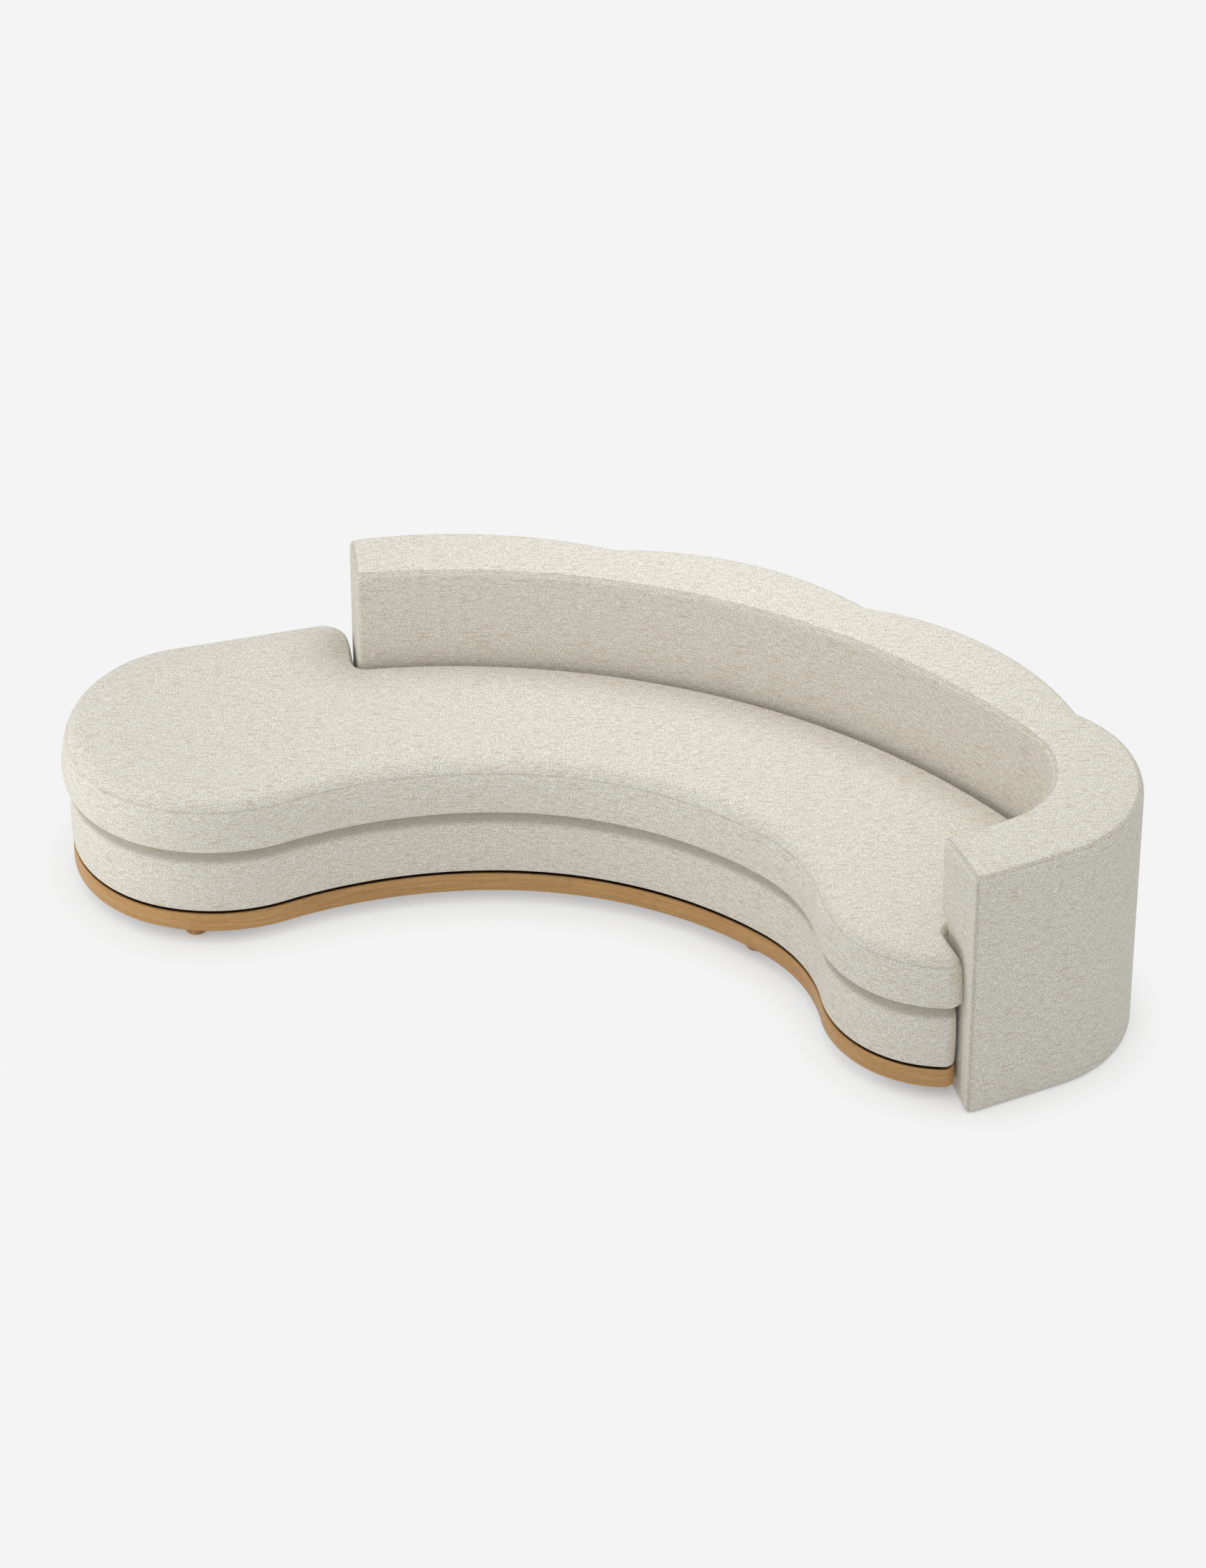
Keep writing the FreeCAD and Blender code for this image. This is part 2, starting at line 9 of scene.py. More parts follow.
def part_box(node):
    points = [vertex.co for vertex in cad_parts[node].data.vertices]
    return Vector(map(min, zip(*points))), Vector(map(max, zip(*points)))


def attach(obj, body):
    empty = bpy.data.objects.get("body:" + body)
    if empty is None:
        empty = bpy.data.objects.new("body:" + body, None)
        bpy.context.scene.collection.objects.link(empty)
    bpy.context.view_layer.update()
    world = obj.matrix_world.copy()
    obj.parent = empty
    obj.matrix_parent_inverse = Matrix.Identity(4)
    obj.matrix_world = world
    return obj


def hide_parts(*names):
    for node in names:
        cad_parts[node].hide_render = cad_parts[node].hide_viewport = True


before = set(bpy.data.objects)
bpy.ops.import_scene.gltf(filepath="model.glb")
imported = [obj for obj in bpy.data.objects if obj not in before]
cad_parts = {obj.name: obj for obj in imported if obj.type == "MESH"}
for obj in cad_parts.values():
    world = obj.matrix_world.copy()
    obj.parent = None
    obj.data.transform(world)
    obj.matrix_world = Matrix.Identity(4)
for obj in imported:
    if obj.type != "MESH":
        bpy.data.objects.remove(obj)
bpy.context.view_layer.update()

bl_info = {
    "name": "Chaise longue",
    "version": (1, 0, 0),
    "blender": (4, 5, 0),
    "location": "3D View > Sidebar > Chaise",
    "description": "Upholsters a curved chaise longue over its CAD frame",
    "category": "Object",
}

WEAVE = "Weave"
PAINTED_SHADE = "Seam"
REAR_PIECE = 9
LOBES = 4
FOOT_SIDES = 48
SIMULATED_FRAMES = 20
THREAD_HEADING = math.radians(20)

# Small fixed details, in metres. A lattice has a spacing and a clearance from its rim.
PANEL_LATTICE, HIDDEN_LATTICE = (0.014, 0.008), (0.04, 0.015)
RIM, SEAM_ROW, SEAM_GAP, SEAM_SHADE_WIDTH = 0.026, 0.0011, 0.0006, 0.0005
REAR_FADE, NOTCH_FADE, END_REACH, GIVE_REACH = 0.05, 0.12, 0.08, 0.09
# In the next row, the fold's drop and fade place the shade painted into the base's shoulder, down from the
# base's top.
BASE_TUCK, FACE_SWELL, FOLD_SHADE_DROP, FOLD_SHADE_FADE = 0.002, 0.002, 0.052, 0.02
DECK_DROP, DECK_THICKNESS, DECK_DIP, DECK_REACH = 0.001, 0.011, 0.004, 0.2
BACK_HEM, BACK_TUCK, TOP_DEPTH, TOP_REACH = 0.008, 0.004, 0.014, 0.03
LEVEL_FADE, HELD_WIDTH, HELD_FADE, VALLEY_WIDTH = 0.05, 0.035, 0.1, 0.05
FOOT_ROUND, MARK_CLEAR, END_WEAVE = 0.003, 0.002, 0.01

# Shares of a whole
ARM_FADE, FRONT_SLANT, VALLEY_DEPTH = 0.75, 0.6, 0.75
# Strength of the shade painted along the seams of the cushion, the back's sides and its top panel.
SEAM_SHADES = {"cushion": 0.5, "side": 0.6, "top": 0.7}


# Properties


def length(name, description, metres):
    return bpy.props.FloatProperty(
        name=name, description=description, default=metres, unit="LENGTH", precision=4)


def angle(name, description, degrees):
    return bpy.props.FloatProperty(
        name=name, description=description, default=math.radians(degrees), subtype="ANGLE")


def share(name, description, default):
    return bpy.props.FloatProperty(name=name, description=description, default=default, subtype="FACTOR")


def power(name, description, watts):
    return bpy.props.FloatProperty(name=name, description=description, default=watts, unit="POWER")


class PlanSizes(bpy.types.PropertyGroup):
    """The plan of the backrest and of the seat."""

    back_heading: angle("Back heading", "Heading of the inside back at its open end", 27.1)
    back_radius: length("Back radius", "Radius of the inside back", 1.8)
    back_angle: angle("Back angle", "Turn of the inside back", 58.7)
    hook_radius: length("Hook radius", "Radius where the back turns into the arm", 0.221)
    hook_angle: angle("Hook angle", "Turn from the back into the arm", 103.7)
    arm_length: length("Arm length", "Straight part of the arm", 0.15)
    open_thickness: length("Open end thickness", "Thickness of the back at its open end", 0.146)
    arm_thickness: length("Arm thickness", "Thickness of the arm at its end", 0.153)
    valley_thickness: length("Valley thickness", "Thickness of the back between two lobes", 0.129)
    lobe_thickness: length("Lobe thickness", "Thickness of the back at the first lobe", 0.157)
    lobe_step: length("Lobe step", "What each next lobe adds to the thickness", 0.011)
    hook_lobe_radius: length("Hook lobe radius", "Radius of the lobe behind the hook", 0.3)
    corner_radius: length("Corner radius", "Upright corners of the back", 0.018)
    gap: length("Gap", "Space between the seat and the back", 0.008)
    notch_depth: length("Notch depth", "Depth of the seat beside the open end", 0.209)
    notch_radius: length("Notch radius", "Corner of the seat beside the open end", 0.08)
    rear_heading: angle("Rear heading", "Heading of the seat's rear edge", 34.6)
    rear_length: length("Rear length", "Straight part of the seat's rear edge", 0.362)
    end_radius: length("End radius", "Radius of the lounge end", 0.34)
    end_angle: angle("End angle", "Turn of the lounge end", 145.4)
    bulge_radius: length("Bulge radius", "Radius in front of the lounge end", 0.428)
    bulge_angle: angle("Bulge angle", "Turn in front of the lounge end", 45.6)
    bay_left_angle: angle("Bay left angle", "Turn of the bay's left part", 25.6)
    bay_right_angle: angle("Bay right angle", "Turn of the bay's right part", 42.1)
    bay_end_radius: length("Bay end radius", "Radius where the bay meets the right lobe", 0.418)
    bay_end_angle: angle("Bay end angle", "Turn where the bay meets the right lobe", 39.7)
    right_radius: length("Right lobe radius", "Radius of the seat's right lobe", 0.306)
    right_angle: angle("Right lobe angle", "Turn of the seat's right lobe", 79.5)
    nose_radius: length("Nose radius", "Corner of the seat before the arm", 0.034)
    nose_length: length("Nose length", "How far the seat stands out before the arm", 0.078)
    step: length("Step", "Spacing of points along the outlines", 0.008)


class CushionSizes(bpy.types.PropertyGroup):
    """The loose seat cushion."""

    bottom: length("Bottom", "Height of the cushion's underside", 0.3)
    widest: length("Widest", "Height at which the border is widest", 0.3405)
    top: length("Top", "Height at which the rolled edge ends", 0.4405)
    roll: length("Roll", "Depth of the rolled edge in front", 0.042)
    rear_roll: length("Rear roll", "Depth of the rolled edge along the back", 0.02)
    swell: length("Swell", "How far the border swells in front", 0.01)
    rear_swell: length("Rear swell", "How far the border swells along the back", 0.001)
    flare: length("Flare", "How far the lower edge stands out in front", 0.007)
    lower_edge: length("Lower edge", "Radius of the lower edge", 0.004)
    crown: length("Crown", "Further rise towards the middle", 0.004)
    crown_reach: length("Crown reach", "Distance over which the crown builds up", 0.11)
    groove: length("Groove", "Depth of the seam's groove", 0.0003)
    pressure: bpy.props.FloatProperty(
        name="Pressure", description="Pressure of the filling in the cloth simulation", default=4.0, min=0)
    top_give: length("Top give", "Furthest the top panel moves in the simulation", 0.006)
    edge_give: length("Edge give", "Furthest the border moves in the simulation", 0.0025)
    fill: share("Fill", "How tightly the cushion is filled", 0.85)


class BaseSizes(bpy.types.PropertyGroup):
    """The upholstered base, the plinth and the feet."""

    inset: length("Inset", "Base face behind the cushion's edge", 0.008)
    bottom: length("Bottom", "Lower edge of the base", 0.105)
    top: length("Top", "Upper edge of the base", 0.2997)
    shoulder: length("Shoulder", "Height of the base's rolled upper edge", 0.055)
    shoulder_depth: length("Shoulder depth", "Depth of the base's rolled upper edge", 0.022)
    # Fold is the strength of the shade painted into the base's shoulder under the cushion, where the
    # cushion's overhang shades it.
    fold: share("Fold", "How far the cloth is darkened in the fold under the cushion", 1.3)
    hem: length("Hem", "Radius of the base's lower edge", 0.007)
    plinth_inset: length("Plinth inset", "Plinth face behind the cushion's edge", 0.008)
    plinth_depth: length("Plinth depth", "Thickness of the plinth", 0.03)
    plinth_bottom: length("Plinth bottom", "Lower edge of the plinth", 0.045)
    plinth_top: length("Plinth top", "Upper edge of the plinth", 0.097)
    arris: length("Arris", "Rounding of the plinth's edges", 0.002)
    rebate: length("Rebate", "Depth of the shadow gap behind the plinth's top edge", 0.012)
    foot_top: length("Foot top", "Radius of a foot under the plinth", 0.032)
    foot_bottom: length("Foot bottom", "Radius of a foot on the floor", 0.027)
    foot_inset: length("Foot inset", "Distance of a foot's middle from the seat's edge", 0.072)


class BackSizes(bpy.types.PropertyGroup):
    """The upholstered backrest."""

    bottom: length("Bottom", "Lower edge of the back", 0.004)
    seam: length("Seam", "Height of the seam round the top panel", 0.7105)
    seam_inset: length("Seam inset", "How far the seam lies inside the outline", 0.004)
    face_bulge: length("Face bulge", "Swelling of the inside back above the cushion", 0.006)
    low_bulge: length("Low bulge", "Swelling beside the cushion", 0.002)
    face_roll: length("Face roll", "Height of the rolled upper edge inside", 0.014)
    end_bulge: length("End bulge", "Swelling of the two ends", 0.007)
    open_bulge: length("Open end bulge", "Swelling of the open end", 0.004)
    end_roll: length("End roll", "Height of the rolled upper edge at the ends", 0.02)
    lobe_bulge: length("Lobe bulge", "Swelling of the outside panels", 0.008)
    lobe_roll: length("Lobe roll", "Height of the rolled upper edge outside", 0.03)
    lobe_pad: length("Lobe padding", "Padding on the outside of the frame", 0.005)
    arm_pad: length("Arm padding", "Padding on both sides of the arm's end", 0.011)
    arm_reach: length("Arm reach", "How far from its end the arm has this padding", 0.6)
    front_pad: length("Front padding", "Padding on the arm's front", 0.012)
    cushion_level: length("Cushion level", "Height up to which the cushion fills the seat", 0.45)
    outer_corner: length("Outer corner", "Radius of the upright corners with a seam", 0.012)
    inner_corner: length("Inner corner", "Radius of the upright corners without a seam", 0.011)
    shell: length("Shell", "Thickness of the padded cover", 0.018)
    top_rise: length("Top rise", "Rise of the top panel's rolled edge", 0.0035)
    top_roll: length("Top roll", "Width of the top panel's rolled edge", 0.010)
    top_crown: length("Top crown", "Further rise of the top panel", 0.003)


class LookSettings(bpy.types.PropertyGroup):
    """Cloth, light and floor."""

    thread: length("Thread", "Pitch of the cloth's twill lines", 0.0085)
    slub: share("Slub", "Strength of the tan slubs", 0.6)
    relief: length("Relief", "Height of the weave", 0.0006)
    ambient: share("Ambient", "Strength of the light all round", 0.41)
    sky: share("Sky", "Strength of the light from straight above", 0.42)
    side_light: share("Side light", "How much stronger the light all round is from the right", 0.07)
    key_power: power("Key power", "Power of the light from the front right", 11.0)
    top_power: power("Top power", "Power of the light over the back", 19.0)
    fill_power: power("Fill power", "Power of the light from the left", 32.0)
    floor_tone: share("Floor tone", "Reflectance of the floor", 0.905)
    contact: length("Contact shadow", "Reach of the shadow by the plinth and the back on the floor", 0.15)
    floor_even: share("Floor evenness", "How much of the open floor's tone is the same all over", 0.98)


# Plan geometry


def direction(heading):
    return np.array([math.cos(heading), math.sin(heading)])


def turn_step(radius, before, after):
    """How far an arc carries the pen while its heading changes; a negative radius turns right."""
    return radius * np.array([np.sin(after) - np.sin(before), np.cos(before) - np.cos(after)])


def smooth(part):
    """From 0 to 1 without a kink at either end."""
    part = np.clip(part, 0, 1)
    return part * part * (3 - 2 * part)


class Run:
    """A path in plan of straights and arcs, each tangent to the one before it."""

    def __init__(self, start, heading):
        self.start = np.array(start, float)
        self.heading = heading
        self.pieces = []

    def straight(self, distance):
        self.pieces.append((0.0, distance))
        return self

    def left(self, radius, turn):
        self.pieces.append((1 / radius, radius * turn))
        return self

    def right(self, radius, turn):
        self.pieces.append((-1 / radius, radius * turn))
        return self

    def length(self):
        return sum(distance for _, distance in self.pieces)

    def place(self, distances, out=0.0):
        """Points at distances along the run and off to its left, with the headings there."""
        distances = np.atleast_1d(np.asarray(distances, float))
        points, headings = np.zeros((len(distances), 2)), np.zeros(len(distances))
        point, heading, done = self.start, self.heading, 0.0
        for index, (curve, distance) in enumerate(self.pieces):
            inside = distances >= done - 1e-9 if index else np.ones(len(distances), bool)
            ahead = np.append(distances[inside] - done, distance)
            after = heading + curve * ahead
            if curve == 0:
                steps = ahead[:, None] * direction(heading)
            else:
                steps = turn_step(1.0, heading, after).T / curve
            points[inside], headings[inside] = point + steps[:-1], after[:-1]
            point, heading, done = point + steps[-1], after[-1], done + distance
        aside = np.stack([-np.sin(headings), np.cos(headings)], 1)
        return points + np.broadcast_to(out, len(distances))[:, None] * aside, headings

    def end(self):
        points, headings = self.place(self.length())
        return points[0], headings[0]

    def marks(self, step, turn=0.12):
        """Distances along the run, closer together where it turns sharply."""
        made, done = [0.0], 0.0
        for curve, distance in self.pieces:
            count = max(1, math.ceil(distance / step), math.ceil(abs(curve) * distance / turn))
            made.extend(done + distance * (index + 1) / count for index in range(count))
            done += distance
        return np.array(made)


class Plan:
    """The outlines of the seat and the back, in metres."""

    def __init__(self, sizes, start):
        self.sizes = sizes
        self.back = Run(start, sizes.back_heading)
        self.back.right(sizes.back_radius, sizes.back_angle)
        self.back.right(sizes.hook_radius, sizes.hook_angle)
        self.back.straight(sizes.arm_length)
        self.stop = self.back.length()
        arc = sizes.back_radius * sizes.back_angle
        self.stations = [0.0, arc / 3, arc * 2 / 3, arc, self.stop]
        self.circles = [self.lobe_circle(index) for index in range(3)]
        self.hook = self.hook_circle()

    def lobe_circle(self, index):
        """Centre and radius of one of the three long lobes of the outside back."""
        sizes = self.sizes
        outs = [sizes.open_thickness] + [sizes.valley_thickness] * 3
        first, last = self.stations[index], self.stations[index + 1]
        crest = sizes.lobe_thickness + index * sizes.lobe_step
        stops = [first, (first + last) / 2, last]
        a, b, c = self.back.place(stops, [outs[index], crest, outs[index + 1]])[0]
        rows = np.array([b - a, c - a]) * 2
        centre = np.linalg.solve(rows, [b @ b - a @ a, c @ c - a @ a])
        return centre, float(np.linalg.norm(centre - a))

    def hook_circle(self):
        """Centre of the last lobe, the arm's outer corner, and the arm's heading."""
        sizes = self.sizes
        radius = sizes.hook_lobe_radius
        end, heading = self.back.end()
        along, out = direction(heading), direction(heading + math.pi / 2)
        corner = end + out * sizes.arm_thickness
        valley = self.back.place(self.stations[3], sizes.valley_thickness)[0][0]
        offset = corner - out * radius - valley
        half = offset @ along
        back = -half + math.sqrt(half ** 2 - offset @ offset + radius ** 2)
        return corner - out * radius + along * back, corner, along, out

    def outer(self, distances):
        """Thickness of the back at distances along its inside face, without the rounded corners."""
        distances = np.atleast_1d(distances)
        points, headings = self.back.place(distances)
        made = np.zeros(len(distances))
        for index, (s, point, heading) in enumerate(zip(distances, points, headings)):
            aside = direction(heading + math.pi / 2)
            lobe = sum(s > station for station in self.stations[1:-1])
            centre, radius = self.circles[lobe] if lobe < 3 else (self.hook[0], self.sizes.hook_lobe_radius)
            towards = (point - centre) @ aside
            offset = point - centre
            made[index] = -towards + math.sqrt(towards ** 2 - offset @ offset + radius ** 2)
            if lobe == 3:
                _, corner, along, out = self.hook
                reached = point + made[index] * aside
                if (reached - self.hook[0]) @ along > 0:
                    made[index] = (corner - point) @ out / (aside @ out)
        return made

    def rounding(self, distances, radius):
        """How far a corner's rounding draws the faces in, near both ends of the back."""
        near = np.clip(np.minimum(distances, self.stop - np.asarray(distances)), 0, radius)
        return radius - np.sqrt(radius ** 2 - (radius - near) ** 2)

    def towards(self, distances, out):
        """Where places lie between the inner face, 0, and the outer face, 1."""
        return np.clip(out / self.outer(np.clip(distances, 0, self.stop)), 0, 1)

    def padded(self, distances, out, pads):
        """Plan points of the back after padding its inner face, its outer face and its two ends."""
        inner, outer, first, last = pads
        towards = self.towards(distances, out)
        moved = distances - np.clip(1 - distances / END_REACH, 0, 1) * first
        moved = moved + np.clip(1 - (self.stop - distances) / END_REACH, 0, 1) * last
        return self.back.place(moved, out + towards * outer - (1 - towards) * inner)[0]

    def pads(self, distances, out, sizes):
        """Padding of the frame at each place: inner face, outer face, open end and arm's front."""
        near = smooth((distances - self.stop + sizes.arm_reach) / (ARM_FADE * sizes.arm_reach))
        front = sizes.front_pad * (1 + FRONT_SLANT * (self.towards(distances, out) - 0.5))
        return sizes.arm_pad * near, sizes.lobe_pad + (sizes.arm_pad - sizes.lobe_pad) * near, 0.0, front

    def seat(self):
        """The closed edge of the seat, counter-clockwise, from the notch beside the open end.

        From the piece numbered REAR_PIECE on, it lies against the arm and the back.
        """
        sizes = self.sizes
        right_angle = math.pi / 2
        first, heading = self.back.start, self.back.heading
        notch = heading + right_angle
        notch_turn = math.pi + sizes.rear_heading - notch
        tangent = sizes.notch_radius * math.tan(notch_turn / 2)
        start = first - direction(heading) * sizes.gap + direction(notch) * (sizes.notch_depth - tangent)
        edge = Run(start, notch)
        edge.left(sizes.notch_radius, notch_turn).straight(sizes.rear_length)
        edge.left(sizes.end_radius, sizes.end_angle).left(sizes.bulge_radius, sizes.bulge_angle)
        bay_start, bay_heading = edge.end()
        last, arm_heading = self.back.end()
        bay_middle = bay_heading - sizes.bay_left_angle
        bay_last = bay_middle - sizes.bay_right_angle
        lobe_first = bay_last - sizes.bay_end_angle
        lobe_last = lobe_first + sizes.right_angle
        nose = arm_heading + 3 * right_angle
        nose += 2 * math.pi * round((lobe_last + 2 * right_angle - nose) / (2 * math.pi))
        stop = last + direction(arm_heading) * sizes.gap - direction(nose) * sizes.nose_length
        stop = stop - turn_step(sizes.nose_radius, lobe_last, nose)
        stop = stop - turn_step(sizes.right_radius, lobe_first, lobe_last)
        stop = stop - turn_step(-sizes.bay_end_radius, bay_last, lobe_first)
        arcs = np.stack([turn_step(-1, bay_heading, bay_middle), turn_step(-1, bay_middle, bay_last)], 1)
        left_radius, right_radius = np.linalg.solve(arcs, stop - bay_start)
        edge.right(left_radius, sizes.bay_left_angle).right(right_radius, sizes.bay_right_angle)
        edge.right(sizes.bay_end_radius, sizes.bay_end_angle).left(sizes.right_radius, sizes.right_angle)
        edge.left(sizes.nose_radius, nose - lobe_last)
        corner, gap = sizes.corner_radius, sizes.gap
        lost = corner / sizes.back_radius
        edge.straight(sizes.nose_length - corner).right(corner + gap, right_angle)
        edge.straight(sizes.arm_length - corner).left(sizes.hook_radius - gap, sizes.hook_angle)
        edge.left(sizes.back_radius - gap, sizes.back_angle - lost).right(corner + gap, right_angle - lost)
        return edge.straight(sizes.notch_depth - tangent - corner)


def make_plan(scene):
    """The plan, set where the CAD backrest stands."""
    sizes = scene.chaise_plan
    loose = Plan(sizes, (0.0, 0.0))
    s = np.linspace(0, loose.stop, 3000)
    drawn = loose.rounding(s, sizes.corner_radius)
    points = np.concatenate([loose.back.place(s, loose.outer(s) - drawn)[0], loose.back.place(s, drawn)[0]])
    low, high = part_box("back_top_cover")
    start = (np.array(low.xy) + np.array(high.xy) - points.min(0) - points.max(0)) / 2
    return Plan(sizes, start)


# Meshes


class Shell:
    """Points, faces and weave coordinates of one piece, with the shade painted on each point, gathered patch
    by patch.
    """

    def __init__(self):
        self.points, self.seams, self.faces, self.weave = [], [], [], []

    def add(self, points, seam=0.0):
        """Adds a block of points with the shade painted on them; returns their numbers in the same layout."""
        points = np.asarray(points, float)
        first = len(self.points)
        flat = points.reshape(-1, 3)
        self.points.extend(flat)
        self.seams.extend(np.broadcast_to(seam, points.shape[:-1]).ravel())
        return np.arange(first, first + len(flat)).reshape(points.shape[:-1])

    def grid(self, numbers, u, v, closing=None):
        """Faces over rows at u and columns at v; closing is the u at which the rows close up."""
        u, v = np.asarray(u, float), np.asarray(v, float)
        if closing is not None:
            numbers, u = np.vstack([numbers, numbers[:1]]), np.append(u, closing)
        self.quads(numbers, np.stack(np.meshgrid(u, v, indexing="ij"), axis=2))

    def quads(self, numbers, flat):
        """Four-sided faces over rows and columns of points, with the weave's place of each point."""
        for i in range(len(numbers) - 1):
            for j in range(numbers.shape[1] - 1):
                square = ((i, j), (i + 1, j), (i + 1, j + 1), (i, j + 1))
                self.face([numbers[corner] for corner in square], [flat[corner] for corner in square])

    def face(self, numbers, flat):
        """One face with its weave coordinates."""
        self.faces.append(tuple(numbers))
        self.weave.extend(flat)

    def mesh(self, name):
        mesh = bpy.data.meshes.new(name)
        mesh.from_pydata([tuple(p) for p in self.points], [], [tuple(int(n) for n in f) for f in self.faces])
        layer = mesh.uv_layers.new(name=WEAVE)
        layer.data.foreach_set("uv", np.asarray(self.weave, np.float32).ravel())
        # The shade painted on each point is kept in a point attribute, which darkens the linen.
        marks = mesh.attributes.new(PAINTED_SHADE, "FLOAT", "POINT")
        marks.data.foreach_set("value", np.asarray(self.seams, np.float32))
        work = bmesh.new()
        work.from_mesh(mesh)
        bmesh.ops.recalc_face_normals(work, faces=work.faces)
        for face in work.faces:
            face.smooth = True
        work.to_mesh(mesh)
        work.free()
        return mesh


def put(name, mesh, material, body, nodes):
    """Sets a finished mesh into the scene as a piece that stands for CAD nodes."""
    piece = bpy.data.objects.new(name, mesh)
    bpy.context.scene.collection.objects.link(piece)
    mesh.materials.clear()
    mesh.materials.append(material)
    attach(piece, body)
    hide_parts(*nodes)
    return piece


def seat_edge(scene):
    """The seat's edge with the marks along it, and its points and outward normals there."""
    edge = make_plan(scene).seat()
    marks = edge.marks(scene.chaise_plan.step)[:-1]
    points, headings = edge.place(marks)
    return edge, marks, points, np.stack([np.sin(headings), -np.cos(headings)], 1)


def chain_length(points):
    """Distance of each point of a chain from its start."""
    return np.concatenate([[0.0], np.cumsum(np.linalg.norm(np.diff(points, axis=0), axis=1))])


def section_rows(points, normals, offsets, heights):
    """A section of offsets and heights, set up at each point of an edge."""
    flat = points[:, None, :] + offsets[:, :, None] * normals[:, None, :]
    return np.concatenate([flat, heights[:, :, None]], axis=2)


def swept(shell, outline, section, seam=0.0):
    """A closed section of (offset, height) pairs, carried round the seat's edge, with the shade painted on
    its points.
    """
    edge, marks, points, normals = outline
    offsets, heights = (np.broadcast_to(line, (len(points), len(section))) for line in section.T)
    numbers = shell.add(section_rows(points, normals, offsets, heights), np.broadcast_to(seam, offsets.shape))
    looped = np.hstack([numbers, numbers[:, :1]])
    shell.grid(looped, marks, chain_length(np.vstack([section, section[:1]])), edge.length())


def arc_points(centre, radii, first, last, count):
    """Points on a quarter of an ellipse, as (offset, height) pairs; angles in degrees."""
    turn = np.radians(np.linspace(first, last, count))
    return [(centre[0] + radii[0] * math.cos(a), centre[1] + radii[1] * math.sin(a)) for a in turn]


def edge_distance(points, loop):
    """Distance from each point to a closed loop of points, and the number of the nearest side."""
    a, b = loop, np.roll(loop, -1, 0)
    side = b - a
    square = (side ** 2).sum(1)
    best, nearest = np.full(len(points), 1e9), np.zeros(len(points), int)
    batch = 500
    for start in range(0, len(points), batch):
        some = slice(start, start + batch)
        offset = points[some, None, :] - a[None]
        t = np.clip((offset * side).sum(2) / square, 0, 1)
        away = np.linalg.norm(offset - t[:, :, None] * side, axis=2)
        best[some], nearest[some] = away.min(1), away.argmin(1)
    return best, nearest


def lattice(loop, spacing, clear):
    """Points of a triangular lattice inside a loop, clear of its edge."""
    low, high = loop.min(0), loop.max(0)
    rows = np.arange(low[1], high[1], spacing * math.sqrt(0.75))
    made = [(x + (index % 2) * spacing / 2, y) for index, y in enumerate(rows)
            for x in np.arange(low[0], high[0], spacing)]
    made = np.array(made)
    a, b = loop, np.roll(loop, -1, 0)
    crossing = (a[None, :, 1] > made[:, None, 1]) != (b[None, :, 1] > made[:, None, 1])
    with np.errstate(divide="ignore", invalid="ignore"):
        cut = a[None, :, 0] + (made[:, None, 1] - a[None, :, 1]) * (b - a)[None, :, 0] / (b - a)[None, :, 1]
    inside = (crossing & (made[:, None, 0] < cut)).sum(1) % 2 == 1
    made = made[inside]
    return made[edge_distance(made, loop)[0] > clear]


def filled(shell, ring_numbers, loop, inner, heights):
    """Fills a ring with triangles over a lattice at the given heights."""
    numbers = np.append(ring_numbers, shell.add(np.column_stack([inner, heights])))
    both = np.concatenate([loop, inner])
    edges = [(i, (i + 1) % len(loop)) for i in range(len(loop))]
    result = delaunay_2d_cdt([Vector(p) for p in both], edges, [], 1, 1e-7)
    flat = laid(both)
    for face in result[2]:
        corners = [result[3][n][0] for n in face]
        shell.face(numbers[corners], flat[corners])


def laid(points):
    """Weave coordinates of a level panel, with its threads turned to lie across the view."""
    c, s = direction(THREAD_HEADING)
    return points @ np.array([[c, -s], [s, c]])


# Materials

LINEN_DARK, LINEN_LIGHT = (0.59, 0.555, 0.465, 1), (0.96, 0.935, 0.855, 1)
LINEN_SLUB = (0.58, 0.47, 0.34, 1)
LINEN_FLECK = (0.10, 0.075, 0.05, 1)
LINEN_PAINTED_SHADE = (0.30, 0.265, 0.21, 1)
OAK_DARK, OAK_LIGHT = (0.36, 0.18, 0.055, 1), (0.76, 0.47, 0.205, 1)
OAK_PORE = (0.24, 0.12, 0.045, 1)
OAK_RELIEF = 0.0004
PLAIN = {
    "plywood": ((0.42, 0.28, 0.14, 1), (0.66, 0.48, 0.28, 1), 0.6, (6, 6, 240)),
    # The near-black board shows only at its edge in the shadow gap between plinth and base: the gap's dark is
    # partly its real shade and partly shade painted into this board.
    "dark_board": ((0.018, 0.016, 0.014, 1), (0.035, 0.03, 0.026, 1), 0.9, (40, 40, 40)),
    "webbing": ((0.05, 0.045, 0.04, 1), (0.12, 0.105, 0.09, 1), 0.9, (300, 300, 300)),
    "nylon": ((0.03, 0.03, 0.03, 1), (0.05, 0.05, 0.05, 1), 0.5, (60, 60, 60)),
    "deck_felt": ((0.36, 0.34, 0.30, 1), (0.48, 0.46, 0.41, 1), 0.95, (220, 220, 220)),
}
CARRIED = {
    "seat_bottom_board": "dark_board",
    "cross_webbing": "webbing",
    "long_webbing": "webbing",
    "back_glides": "nylon",
}


